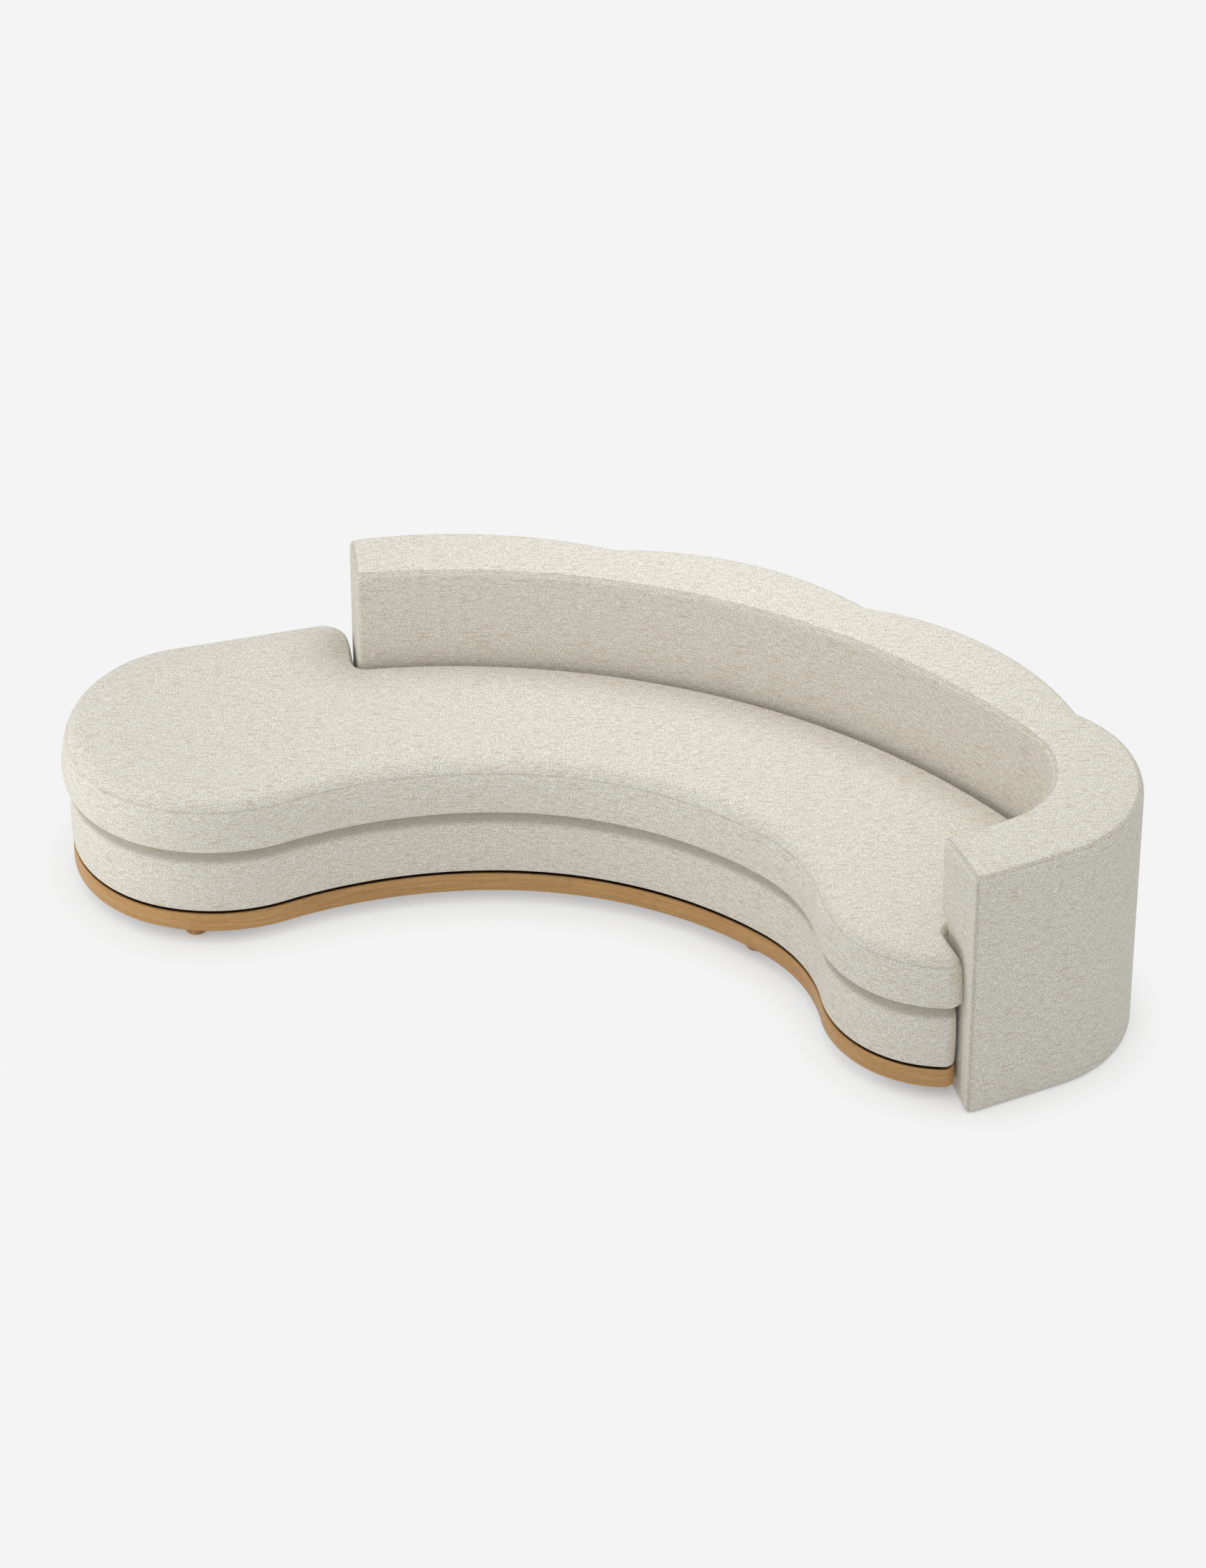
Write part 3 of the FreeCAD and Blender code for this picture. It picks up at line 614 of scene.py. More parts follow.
class Shade:
    """One output in a shader tree; sums and products on it add the maths nodes."""

    def __init__(self, tree, socket):
        self.tree, self.socket = tree, socket

    @classmethod
    def node(cls, tree, kind, inputs=None, output=0, **settings):
        node = tree.nodes.new(kind)
        for key, value in settings.items():
            setattr(node, key, value)
        for key, value in (inputs or {}).items():
            if isinstance(value, Shade):
                tree.links.new(value.socket, node.inputs[key])
            else:
                node.inputs[key].default_value = value
        return cls(tree, node.outputs[output])

    def maths(self, operation, a, b=None):
        inputs = {0: a} if b is None else {0: a, 1: b}
        return Shade.node(self.tree, "ShaderNodeMath", inputs, operation=operation)

    def __add__(self, other):
        return self.maths("ADD", self, other)

    def __radd__(self, other):
        return self.maths("ADD", other, self)

    def __sub__(self, other):
        return self.maths("SUBTRACT", self, other)

    def __rsub__(self, other):
        return self.maths("SUBTRACT", other, self)

    def __mul__(self, other):
        return self.maths("MULTIPLY", self, other)

    def __truediv__(self, other):
        return self.maths("DIVIDE", self, other)

    def sine(self):
        return self.maths("SINE", self)

    def between(self, low, high):
        """0 below low, 1 above high, smooth in between."""
        return Shade.node(self.tree, "ShaderNodeMapRange", {"Value": self, "From Min": low, "From Max": high},
                          interpolation_type="SMOOTHSTEP")


def pair(tree, u, v):
    return Shade.node(tree, "ShaderNodeCombineXYZ", {"X": u, "Y": v})


def noise(tree, vector, detail=2.0):
    return Shade.node(tree, "ShaderNodeTexNoise", {"Vector": vector, "Scale": 1.0, "Detail": detail}, "Fac",
                      noise_dimensions="3D")


def cells(tree, place, along, across, detail=2.0):
    """Noise with so many cells in a metre along and across the weave coordinates."""
    u, v = place
    return noise(tree, pair(tree, u * along, v * across), detail)


def blend(tree, factor, a, b):
    """One colour turning into another."""
    return Shade.node(tree, "ShaderNodeMix", {0: factor, 6: a, 7: b}, 2, data_type="RGBA")


def surface(name, roughness, sheen=0.0):
    """A new material with its tree and its Principled node."""
    material = bpy.data.materials.new("chaise_" + name)
    material.use_nodes = True
    tree = material.node_tree
    shader = next(n for n in tree.nodes if n.type == "BSDF_PRINCIPLED")
    shader.inputs["Roughness"].default_value = roughness
    shader.inputs["Sheen Weight"].default_value = sheen
    shader.inputs["Specular IOR Level"].default_value = 0.2
    return material, tree, shader


def raised(tree, shader, height, distance, strength):
    """Gives a surface a fine relief."""
    inputs = {"Height": height, "Distance": distance, "Strength": strength}
    bump = Shade.node(tree, "ShaderNodeBump", inputs, "Normal")
    tree.links.new(bump.socket, shader.inputs["Normal"])


def uv_parts(tree):
    """The two weave coordinates of a piece, in metres."""
    place = Shade.node(tree, "ShaderNodeUVMap", output="UV", uv_map=WEAVE)
    return [Shade.node(tree, "ShaderNodeSeparateXYZ", {0: place}, axis) for axis in ("X", "Y")]


def linen(look):
    """Oatmeal linen: a twill weave with tan slubs and a few dark flecks, and shade painted in by the points'
    painted-shade attribute.
    """
    material, tree, shader = surface("linen", 0.92, 0.15)
    place = u, v = uv_parts(tree)
    twist = cells(tree, place, 120.0, 120.0) * 3.0
    twill = ((u - v) * (2 * math.pi / look.thread) + twist).sine()
    weft = cells(tree, place, 55.0, 300.0).between(0.3, 0.7)
    warp = cells(tree, place, 300.0, 70.0).between(0.3, 0.7)
    grain = cells(tree, place, 300.0, 330.0).between(0.3, 0.7)
    fine = cells(tree, place, 560.0, 560.0)
    slub = noise(tree, pair(tree, u * 20.0, v * 260.0 + 40.0), 1.0).between(0.60, 0.68)
    tone = 0.5 + twill * 0.2 + (weft - 0.5) * 0.55 + (warp - 0.5) * 0.5 + (grain - 0.5) * 1.25
    tone = tone + (fine - 0.5) * 1.1
    colour = blend(tree, tone, LINEN_DARK, LINEN_LIGHT)
    colour = blend(tree, slub * look.slub, colour, LINEN_SLUB)
    spots = {"Vector": pair(tree, u * 14.0, v * 14.0), "Scale": 1.0}
    spot = Shade.node(tree, "ShaderNodeTexVoronoi", spots, "Distance", voronoi_dimensions="2D")
    rare = noise(tree, pair(tree, u * 9.0 + 7.0, v * 9.0)).between(0.50, 0.56)
    fleck = (1.0 - spot.between(0.012, 0.026)) * rare
    colour = blend(tree, fleck * 0.75, colour, LINEN_FLECK)
    # Painted shade: the points' attribute darkens the cloth along the seams and in the base's fold, standing
    # in for the shadow there.
    seam = Shade.node(tree, "ShaderNodeAttribute", output="Fac", attribute_name=PAINTED_SHADE)
    colour = blend(tree, seam * 0.45, colour, LINEN_PAINTED_SHADE)
    tree.links.new(colour.socket, shader.inputs["Base Color"])
    relief = twill * 0.3 + weft * 0.8 + warp * 0.6 + grain * 0.6 + fine * 0.5
    raised(tree, shader, relief, look.relief, 0.3)
    return material


def oak():
    """Honey oak with its grain along the first weave coordinate."""
    material, tree, shader = surface("oak", 0.45)
    place = u, v = uv_parts(tree)
    drift = cells(tree, place, 2.0, 9.0) * 0.012
    streak = cells(tree, (u, v + drift), 7.0, 210.0, 4.0)
    pore = cells(tree, place, 45.0, 520.0).between(0.56, 0.68)
    tone = cells(tree, place, 1.5, 30.0)
    colour = blend(tree, (streak - 0.5) * 1.1 + tone * 0.4 + 0.3, OAK_DARK, OAK_LIGHT)
    colour = blend(tree, pore * 0.5, colour, OAK_PORE)
    tree.links.new(colour.socket, shader.inputs["Base Color"])
    raised(tree, shader, streak, OAK_RELIEF, 0.4)
    return material


def plain(name, low, high, roughness, scale):
    """A simple mottled surface in object space."""
    material, tree, shader = surface(name, roughness)
    place = Shade.node(tree, "ShaderNodeTexCoord", output="Object")
    spread = Shade.node(tree, "ShaderNodeVectorMath", {0: place, 1: scale}, operation="MULTIPLY")
    colour = blend(tree, noise(tree, spread, 3.0), low, high)
    tree.links.new(colour.socket, shader.inputs["Base Color"])
    return material


def material_named(name):
    """A material, made when it is first asked for."""
    if "chaise_" + name not in bpy.data.materials:
        if name == "linen":
            linen(bpy.context.scene.chaise_look)
        elif name == "oak":
            oak()
        else:
            plain(name, *PLAIN[name])
    return bpy.data.materials["chaise_" + name]


# Operators


def plump(mesh, sizes, inset):
    """Fills the cushion's cover by a cloth simulation under pressure, with its underside held."""
    scene = bpy.context.scene
    trial = bpy.data.objects.new("cushion_trial", mesh.copy())
    scene.collection.objects.link(trial)
    count = len(mesh.vertices)
    rest = np.empty(count * 3, np.float32)
    mesh.vertices.foreach_get("co", rest)
    rest = rest.reshape(-1, 3)
    held = trial.vertex_groups.new(name="held")
    held.add([int(n) for n in np.flatnonzero(rest[:, 2] < sizes.widest)], 1.0, "REPLACE")
    cloth = trial.modifiers.new("cloth", "CLOTH")
    cloth.settings.vertex_group_mass = held.name
    cloth.settings.use_pressure = True
    cloth.settings.uniform_pressure_force = sizes.pressure
    cloth.settings.effector_weights.gravity = 0.0
    cloth.settings.quality = 4
    cloth.collision_settings.use_collision = False
    cloth.point_cache.frame_start, cloth.point_cache.frame_end = 1, SIMULATED_FRAMES
    for frame_number in range(1, SIMULATED_FRAMES + 1):
        scene.frame_set(frame_number)
    filled_mesh = trial.evaluated_get(bpy.context.evaluated_depsgraph_get()).to_mesh()
    moved = np.empty(count * 3, np.float32)
    filled_mesh.vertices.foreach_get("co", moved)
    step = moved.reshape(-1, 3) - rest
    free = np.clip(inset / GIVE_REACH, 0, 1)
    give = sizes.edge_give + (sizes.top_give - sizes.edge_give) * free
    size = np.linalg.norm(step, axis=1)
    step *= (give * np.tanh(size / give) / np.maximum(size, 1e-9))[:, None]
    mesh.vertices.foreach_set("co", (rest + step).ravel())
    mesh.update()
    scene.frame_set(1)
    bpy.data.objects.remove(trial)


class CHAISE_OT_cushion(bpy.types.Operator):
    """Make the loose seat cushion with its rolled edges and seam"""

    bl_idname = "chaise.cushion"
    bl_label = "Seat cushion"

    def execute(self, context):
        sizes = context.scene.chaise_cushion
        edge, marks, points, normals = seat_edge(context.scene)
        rear = edge.length() - sum(distance for _, distance in edge.pieces[REAR_PIECE:])
        behind = np.clip((marks - rear) / REAR_FADE, 0, 1) + np.clip(1 - marks / NOTCH_FADE, 0, 1)
        behind = np.clip(behind, 0, 1)
        roll = sizes.roll + (sizes.rear_roll - sizes.roll) * behind
        swell = sizes.swell + (sizes.rear_swell - sizes.swell) * behind
        offsets, heights, split = self.section(sizes, roll, swell, sizes.flare * (1 - behind))
        # Painted shade along the seam's two rows, standing in for the shadow in the seam.
        seam = np.zeros(offsets.shape)
        seam[:, split - 1:split + 1] = SEAM_SHADES["cushion"]

        shell = Shell()
        rows = section_rows(points, normals, offsets, heights)
        numbers = shell.add(rows, seam)
        sample = len(marks) // 4
        v = chain_length(np.column_stack([offsets[sample], heights[sample]]))
        shell.grid(numbers[:, :split + 1], marks, v[:split + 1], edge.length())
        flat = self.unrolled(points, normals, offsets, heights)
        rim = np.append(np.arange(len(marks)), 0)
        shell.quads(numbers[rim, split:], flat[rim, split:])
        loop = rows[:, -1, :2]
        inner = lattice(loop, *PANEL_LATTICE)
        distance, nearest = edge_distance(inner, points)
        filled(shell, numbers[:, -1], loop, inner, self.rise(sizes, distance, roll[nearest], swell[nearest]))
        loop = rows[:, 0, :2]
        inner = lattice(loop, *HIDDEN_LATTICE)
        filled(shell, numbers[:, 0], loop, inner, np.full(len(inner), sizes.bottom))
        mesh = shell.mesh("seat_cushion_cover")
        plump(mesh, sizes, edge_distance(np.array(shell.points)[:, :2], points)[0])
        nodes = ("cushion_core", "cushion_border", "cushion_bottom_panel", "cushion_top_panel")
        put("seat_cushion_cover", mesh, material_named("linen"), "seat_cushion", nodes)
        return {"FINISHED"}

    def rise(self, sizes, inset, roll, swell):
        """Height of the rolled edge and the crowned top at a distance inside the seat's edge."""
        left = np.clip(1 - (swell + inset) / roll, 0, 1)
        crown = sizes.crown * (1 - np.exp(-np.maximum(inset, 0) / sizes.crown_reach))
        return sizes.widest + (sizes.top - sizes.widest) * np.sqrt(1 - left ** 2) + crown

    def section(self, sizes, roll, swell, flare):
        """Offsets and heights from the lower edge up to the top panel's rim, and the seam's row."""
        lower, level = sizes.lower_edge, np.ones(len(roll))
        offsets, heights = [], []
        for out, height in arc_points((-lower, sizes.bottom + lower), (lower, lower), 270, 360, 6):
            offsets.append(flare + out)
            heights.append(height * level)
        start = heights[-1]
        for part in np.linspace(0, 1, 8)[1:]:
            offsets.append(flare + (swell - flare) * math.sin(math.pi / 2 * part))
            heights.append(start + part * (sizes.widest - start))
        for turn in np.radians(np.linspace(0, 45, 9)[1:]):
            offsets.append(swell - roll * (1 - math.cos(turn)))
            heights.append(self.rise(sizes, -offsets[-1], roll, swell))
        for _ in range(2):
            offsets.append(offsets[-1] - SEAM_ROW)
            heights.append(self.rise(sizes, -offsets[-1], roll, swell) - sizes.groove)
        split, start = len(offsets) - 1, offsets[-1]
        for part in (0.03, 0.1, 0.2, 0.32, 0.46, 0.62, 0.8, 1.0):
            offsets.append(start + (-RIM - start) * part)
            heights.append(self.rise(sizes, -offsets[-1], roll, swell))
        return np.array(offsets).T, np.array(heights).T, split

    def unrolled(self, points, normals, offsets, heights):
        """Weave coordinates of the top panel's rim, rolled out flat round the panel."""
        steps = np.hypot(np.diff(offsets, axis=1), np.diff(heights, axis=1))
        inmost = offsets[:, -1:]
        out = np.append(np.cumsum(steps[:, ::-1], axis=1)[:, ::-1] + inmost, inmost, axis=1)
        flat = points[:, None, :] + out[:, :, None] * normals[:, None, :]
        return laid(flat.reshape(-1, 2)).reshape(flat.shape)


class CHAISE_OT_base(bpy.types.Operator):
    """Make the padded base under the cushion and the cloth deck on it"""

    bl_idname = "chaise.base"
    bl_label = "Seat base"

    def execute(self, context):
        sizes = context.scene.chaise_base
        outline = seat_edge(context.scene)
        face, hem, shoulder, depth = -sizes.inset, sizes.hem, sizes.shoulder, sizes.shoulder_depth
        deep = face - depth - BASE_TUCK
        low, high = sizes.bottom + hem, sizes.top - shoulder
        section = [(deep, sizes.bottom)]
        section += arc_points((face - hem, low), (hem, hem), 270, 360, 6)
        for part in np.linspace(0.1, 0.95, 8):
            section.append((face + FACE_SWELL * math.sin(math.pi * part), low + part * (high - low)))
        section += arc_points((face - depth, high), (depth, shoulder), 0, 90, 12)
        section.append((deep, sizes.top))
        section = np.array(section)
        # Painted shade: the cloth of the rolled shoulder is darkened under the cushion's overhang, standing
        # in for its shadow there.
        fold = sizes.fold * smooth((section[:, 1] - sizes.top + FOLD_SHADE_DROP) / FOLD_SHADE_FADE)
        shell = Shell()
        swept(shell, outline, section, fold)
        cover = shell.mesh("base_upholstery")
        put("base_upholstery", cover, material_named("linen"), "frame", ("base_cover",))
        self.deck(sizes, outline, -deep)
        return {"FINISHED"}

    def deck(self, sizes, outline, inset):
        """The felt that the cushion lies on."""
        edge, marks = outline[:2]
        loop, _ = edge.place(marks, inset)
        high = sizes.top - DECK_DROP
        low = high - DECK_THICKNESS
        shell = Shell()
        upper, lower = (shell.add(np.column_stack([loop, np.full(len(loop), z)])) for z in (high, low))
        shell.grid(np.stack([lower, upper], 1), marks, [0, DECK_THICKNESS], edge.length())
        inner = lattice(loop, *HIDDEN_LATTICE)
        dip = DECK_DIP * np.clip(edge_distance(inner, loop)[0] / DECK_REACH, 0, 1)
        filled(shell, upper, loop, inner, high - dip)
        filled(shell, lower, loop, inner, np.full(len(inner), low))
        put("seat_deck", shell.mesh("seat_deck"), material_named("deck_felt"), "frame", ("seat_deck_pad",))


class CHAISE_OT_plinth(bpy.types.Operator):
    """Make the oak plinth and its turned feet"""

    bl_idname = "chaise.plinth"
    bl_label = "Plinth and feet"

    def execute(self, context):
        sizes = context.scene.chaise_base
        outline = seat_edge(context.scene)
        face, back = -sizes.plinth_inset, -sizes.plinth_inset - sizes.plinth_depth
        soft, ledge = sizes.arris, sizes.plinth_top - sizes.rebate
        section = [(back, sizes.plinth_bottom)]
        section += arc_points((face - soft, sizes.plinth_bottom + soft), (soft, soft), 270, 360, 5)
        section += arc_points((face - soft, sizes.plinth_top - soft), (soft, soft), 0, 90, 5)
        lip = face - 3 * soft
        section += [(lip, sizes.plinth_top), (lip - soft / 2, ledge), (back, ledge)]
        shell = Shell()
        swept(shell, outline, np.array(section))
        put("oak_plinth", shell.mesh("oak_plinth"), material_named("oak"), "frame", ("plinth_ring",))
        self.feet(context, sizes, *outline[2:])
        return {"FINISHED"}

    def feet(self, context, sizes, edge, normals):
        """One turned foot, set out by a node tree on the CAD's points, at a set distance inside the edge."""
        pattern = bpy.data.objects.new("foot_pattern", self.foot(sizes))
        context.scene.collection.objects.link(pattern)
        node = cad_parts["feet"]
        spots = np.array(foot_spots(np.array([vertex.co for vertex in node.data.vertices])))
        gaps, nearest = edge_distance(spots, edge)
        spots = spots + normals[nearest] * (gaps - sizes.foot_inset)[:, None]
        seeds = bpy.data.meshes.new("oak_feet_spots")
        seeds.from_pydata([(x, y, 0.0) for x, y in spots], [], [])
        mesh = set_out("oak_feet", seeds, pattern, material_named("oak"))
        bpy.data.objects.remove(pattern)
        put("oak_feet", mesh, material_named("oak"), "frame", ("feet",))

    def foot(self, sizes):
        """The mesh of one foot, turned about the upright axis, with its grain upright."""
        low, high, soft, middle = sizes.foot_bottom, sizes.foot_top, FOOT_ROUND, 0.0001
        outline = [(middle, 0.0), (low - soft, 0.0), (low - 0.3 * soft, 0.3 * soft), (low, soft)]
        for part in np.linspace(0.1, 1, 6):
            outline.append((low + part * (high - low), soft + part * (sizes.plinth_bottom - soft)))
        outline.append((middle, sizes.plinth_bottom))
        radii, heights = np.array(outline).T
        turns = np.linspace(0, 2 * math.pi, FOOT_SIDES, endpoint=False)
        rows = np.stack([np.outer(np.cos(turns), radii), np.outer(np.sin(turns), radii),
                         np.broadcast_to(heights, (FOOT_SIDES, len(heights)))], axis=2)
        shell = Shell()
        shell.grid(shell.add(rows), turns * high, chain_length(outline), 2 * math.pi * high)
        shell.weave = [(v, u) for u, v in shell.weave]
        return shell.mesh("foot_pattern")


def foot_spots(points):
    """Middles of the separate feet in the CAD node."""
    spots, apart = [], 0.1
    for point in points[:, :2]:
        near = next((group for group in spots if np.linalg.norm(np.mean(group, 0) - point) < apart), None)
        if near is None:
            spots.append([point])
        else:
            near.append(point)
    return [(np.min(group, 0) + np.max(group, 0)) / 2 for group in spots]


def set_out(name, seeds, pattern, material):
    """Instances a pattern on points with a node tree and returns the result as a plain mesh."""
    tree = bpy.data.node_groups.new(name, "GeometryNodeTree")
    tree.interface.new_socket("Geometry", in_out="INPUT", socket_type="NodeSocketGeometry")
    piece = tree.interface.new_socket("Piece", in_out="INPUT", socket_type="NodeSocketObject")
    finish = tree.interface.new_socket("Material", in_out="INPUT", socket_type="NodeSocketMaterial")
    tree.interface.new_socket("Geometry", in_out="OUTPUT", socket_type="NodeSocketGeometry")
    kinds = ("NodeGroupInput", "GeometryNodeObjectInfo", "GeometryNodeInstanceOnPoints",
             "GeometryNodeRealizeInstances", "GeometryNodeSetMaterial", "NodeGroupOutput")
    given, source, instance, realize, paint, result = (tree.nodes.new(kind) for kind in kinds)
    join = tree.links.new
    join(given.outputs["Piece"], source.inputs["Object"])
    join(given.outputs["Geometry"], instance.inputs["Points"])
    join(source.outputs["Geometry"], instance.inputs["Instance"])
    join(instance.outputs["Instances"], realize.inputs["Geometry"])
    join(realize.outputs["Geometry"], paint.inputs["Geometry"])
    join(given.outputs["Material"], paint.inputs["Material"])
    join(paint.outputs["Geometry"], result.inputs["Geometry"])
    holder = bpy.data.objects.new(name + "_holder", seeds)
    bpy.context.scene.collection.objects.link(holder)
    modifier = holder.modifiers.new(name, "NODES")
    modifier.node_group = tree
    modifier[piece.identifier] = pattern
    modifier[finish.identifier] = material
    graph = bpy.context.evaluated_depsgraph_get()
    done = holder.evaluated_get(graph)
    mesh = bpy.data.meshes.new_from_object(done, preserve_all_data_layers=True, depsgraph=graph)
    mesh.name = name
    bpy.data.objects.remove(holder)
    return mesh


class CHAISE_OT_back(bpy.types.Operator):
    """Make the inside back, the outside panels and the top panel of the backrest"""

    bl_idname = "chaise.back"
    bl_label = "Backrest"

    def execute(self, context):
        sizes = context.scene.chaise_back
        plan = make_plan(context.scene)
        step = context.scene.chaise_plan.step
        self.inside(plan, sizes, step)
        for index in range(LOBES):
            self.outside(plan, sizes, step, index)
        self.top(plan, sizes, step)
        return {"FINISHED"}

    def levels(self, sizes):
        """Heights of a side's section from hem to seam, and how far the hem draws each one in."""
        hem = BACK_HEM
        low = arc_points((-hem, sizes.bottom + hem), (hem, hem), 270, 360, 5)
        drops = np.array([0.052, 0.045, 0.038, 0.031, 0.025, 0.02, 0.016, 0.012, 0.009, 0.0065, 0.0045, 0.003,
                          0.0015, 0.0005, 0.0])
        rising = np.linspace(sizes.bottom + hem, sizes.seam - drops[0] - hem, 22)[1:]
        heights = np.concatenate([[h for o, h in low], rising, sizes.seam - drops])
        drawn = np.concatenate([[o for o, h in low], np.zeros(len(rising) + len(drops))])
        return heights, drawn

    def side(self, name, plan, path, sizes, puff, nodes):
        """A side panel: a padded shell over a path of (distance, thickness) pairs, whose faces swell."""
        heights, drawn = self.levels(sizes)
        s, out = path[:, 0], path[:, 1]
        pad_inner, pad_outer, pad_first, pad_last = plan.pads(s, out, sizes)
        beside = np.clip(1 + (sizes.cushion_level - heights) / LEVEL_FADE, 0, 1)
        drop = sizes.seam - heights

        def grow(bulge, roll):
            part = np.clip(drop / roll, 0, 1)
            return (bulge + sizes.seam_inset) * np.sqrt(1 - (1 - part) ** 2) - sizes.seam_inset + drawn

        inner = grow(sizes.face_bulge + (sizes.low_bulge - sizes.face_bulge) * beside, sizes.face_roll)
        outer = grow(sizes.lobe_bulge, sizes.lobe_roll)
        ends = grow(sizes.end_bulge, sizes.end_roll)
        held = grow(sizes.end_bulge + (sizes.low_bulge - sizes.end_bulge) * beside, sizes.end_roll)
        plain_end = grow(sizes.open_bulge, sizes.end_roll)
        sunk = np.full(1, -sizes.shell)
        levels = np.concatenate([[sizes.bottom], heights, [sizes.seam - BACK_TUCK]])
        lines = (inner, outer, ends, held, plain_end)
        inner, outer, ends, held, plain_end = (np.concatenate([sunk, line, sunk]) for line in lines)
        beside = np.concatenate([beside[:1], beside, beside[-1:]])
        nose = np.clip(1 + (HELD_WIDTH - out) / HELD_FADE, 0, 1)
        rows = []
        for i, o, e, h, first, low, z in zip(inner, outer, ends, held, plain_end, beside, levels):
            front = (e + pad_last) * (1 - nose * low) + h * nose * low
            swollen = o if o < 0 else o * puff
            pads = (pad_inner * (1 - low) + i, pad_outer + swollen, pad_first + first, front)
            points = plan.padded(s, out, pads)
            rows.append(np.column_stack([points, np.full(len(points), z)]))
        rows = np.stack(rows, axis=1)
        # Painted shade in the rows under the top seam and along the upright seams at both ends, standing in
        # for the shadow in the seams.
        seam = np.zeros(rows.shape[:2])
        seam[:, -5:] = SEAM_SHADES["side"]
        seam[[0, 1, 2, -3, -2, -1], 1:] = SEAM_SHADES["side"]
        far = chain_length(rows[:, len(levels) // 2, :2])
        shell = Shell()
        numbers = shell.add(rows, seam)
        looped = np.hstack([numbers, numbers[:, :1]])
        middle = rows[len(rows) // 2]
        shell.grid(looped, far, chain_length(np.vstack([middle, middle[:1]])))
        for end in (0, -1):
            shell.face(numbers[end], [(k * END_WEAVE, k * END_WEAVE) for k in range(len(levels))])
        put(name, shell.mesh(name), material_named("linen"), "frame", nodes)

    def inside(self, plan, sizes, step):
        """The inside back, which wraps round the open end and the arm's end."""
        radius, stop = sizes.inner_corner, plan.stop
        back = plan.back
        first, last = plan.outer([radius])[0], plan.outer([stop - radius])[0]
        tight = sizes.outer_corner
        turn = np.radians(np.linspace(0, 90, 9))
        half = turn[4:]
        path = []
        path += [(tight * (1 - math.sin(a)), first - tight * (1 - math.cos(a))) for a in half]
        path += [(0.0, out) for out in np.linspace(first - tight, radius, 16)[1:-1]]
        path += [(radius * (1 - math.cos(a)), radius * (1 - math.sin(a))) for a in turn]
        marks = back.marks(step)
        path += [(s, 0.0) for s in marks if radius + MARK_CLEAR < s < stop - radius - MARK_CLEAR]
        path += [(stop - radius * (1 - math.sin(a)), radius * (1 - math.cos(a))) for a in turn]
        path += [(stop, out) for out in np.linspace(radius, last - tight, 16)[1:-1]]
        path += [(stop - tight * (1 - math.cos(a)), last - tight * (1 - math.sin(a))) for a in turn[:5]]
        nodes = ("inside_back_cover", "back_inner_foam", "open_end_pad", "arm_end_pad")
        self.side("inside_back", plan, np.array(path), sizes, 1.0, nodes)

    def outside(self, plan, sizes, step, index):
        """One of the outside panels, swollen over its lobe and drawn in at the valleys."""
        tight = sizes.outer_corner
        lost = tight * (1 - math.sqrt(0.5))
        first = plan.stations[index] + (lost if index == 0 else 0)
        last = plan.stations[index + 1] - (lost if index == LOBES - 1 else 0)
        marks = np.linspace(first, last, math.ceil((last - first) / step))
        near = tight * np.array([0.08, 0.16, 0.25, 0.38, 0.5, 0.75, 1.0])
        marks = np.unique(np.concatenate([marks, first + near, last - near]))
        outs = plan.outer(marks) - plan.rounding(marks, tight)
        puff = np.ones(len(marks))
        for end, valley in ((first, index > 0), (last, index < LOBES - 1)):
            if valley:
                puff -= VALLEY_DEPTH * np.exp(-((marks - end) / VALLEY_WIDTH) ** 2)
        nodes = (f"outside_back_panel_{index + 1}", f"back_lobe_{index + 1}")
        self.side(f"outside_back_{index + 1}", plan, np.column_stack([marks, outs]), sizes, puff, nodes)

    def top(self, plan, sizes, step):
        """The top panel, with its rolled and seamed edge."""
        radius, stop = sizes.inner_corner, plan.stop
        inset = sizes.seam_inset + SEAM_GAP
        turn = np.radians(np.linspace(0, 90, 12))
        ends = np.concatenate([(r - inset) * (1 - np.cos(turn)) for r in (radius, sizes.outer_corner)])
        marks = plan.back.marks(step)
        marks = marks[(marks > radius + 2 * MARK_CLEAR) & (marks < stop - radius - 2 * MARK_CLEAR)]
        marks = np.unique(np.concatenate([inset + ends, marks, plan.stations[1:-1], stop - inset - ends]))
        reach = np.minimum(marks, stop - marks) - inset
        drawn = []
        for corner in (radius - inset, sizes.outer_corner - inset):
            left = corner - np.clip(reach, 0, corner)
            drawn.append(corner - np.sqrt(np.maximum(corner ** 2 - left ** 2, 0)))
        inner, outer = inset + drawn[0], plan.outer(marks) - inset - drawn[1]
        usual_width = 0.14
        edge = np.array([0, 0.0006, 0.0015, 0.003, 0.005, 0.008, 0.012, 0.017, 0.024, 0.034]) / usual_width
        parts = np.concatenate([edge, np.linspace(edge[-1], 1 - edge[-1], 9)[1:-1], 1 - edge[::-1]])
        outs = inner[:, None] + (outer - inner)[:, None] * parts[None, :]
        flat = np.stack([plan.padded(marks, line, plan.pads(marks, line, sizes)) for line in outs.T], axis=1)
        distance = np.minimum(outs - inner[:, None], outer[:, None] - outs)
        distance = np.minimum(distance, reach[:, None] * np.ones(len(parts)))
        part = np.clip(distance / sizes.top_roll, 0, 1)
        level = sizes.seam + sizes.top_rise * np.sqrt(1 - (1 - part) ** 2)
        level += sizes.top_crown * (1 - np.exp(-distance / TOP_REACH))
        rows = np.concatenate([flat, level[:, :, None]], axis=2)
        under = rows.copy()
        under[:, :, 2] = sizes.seam - TOP_DEPTH
        shell = Shell()
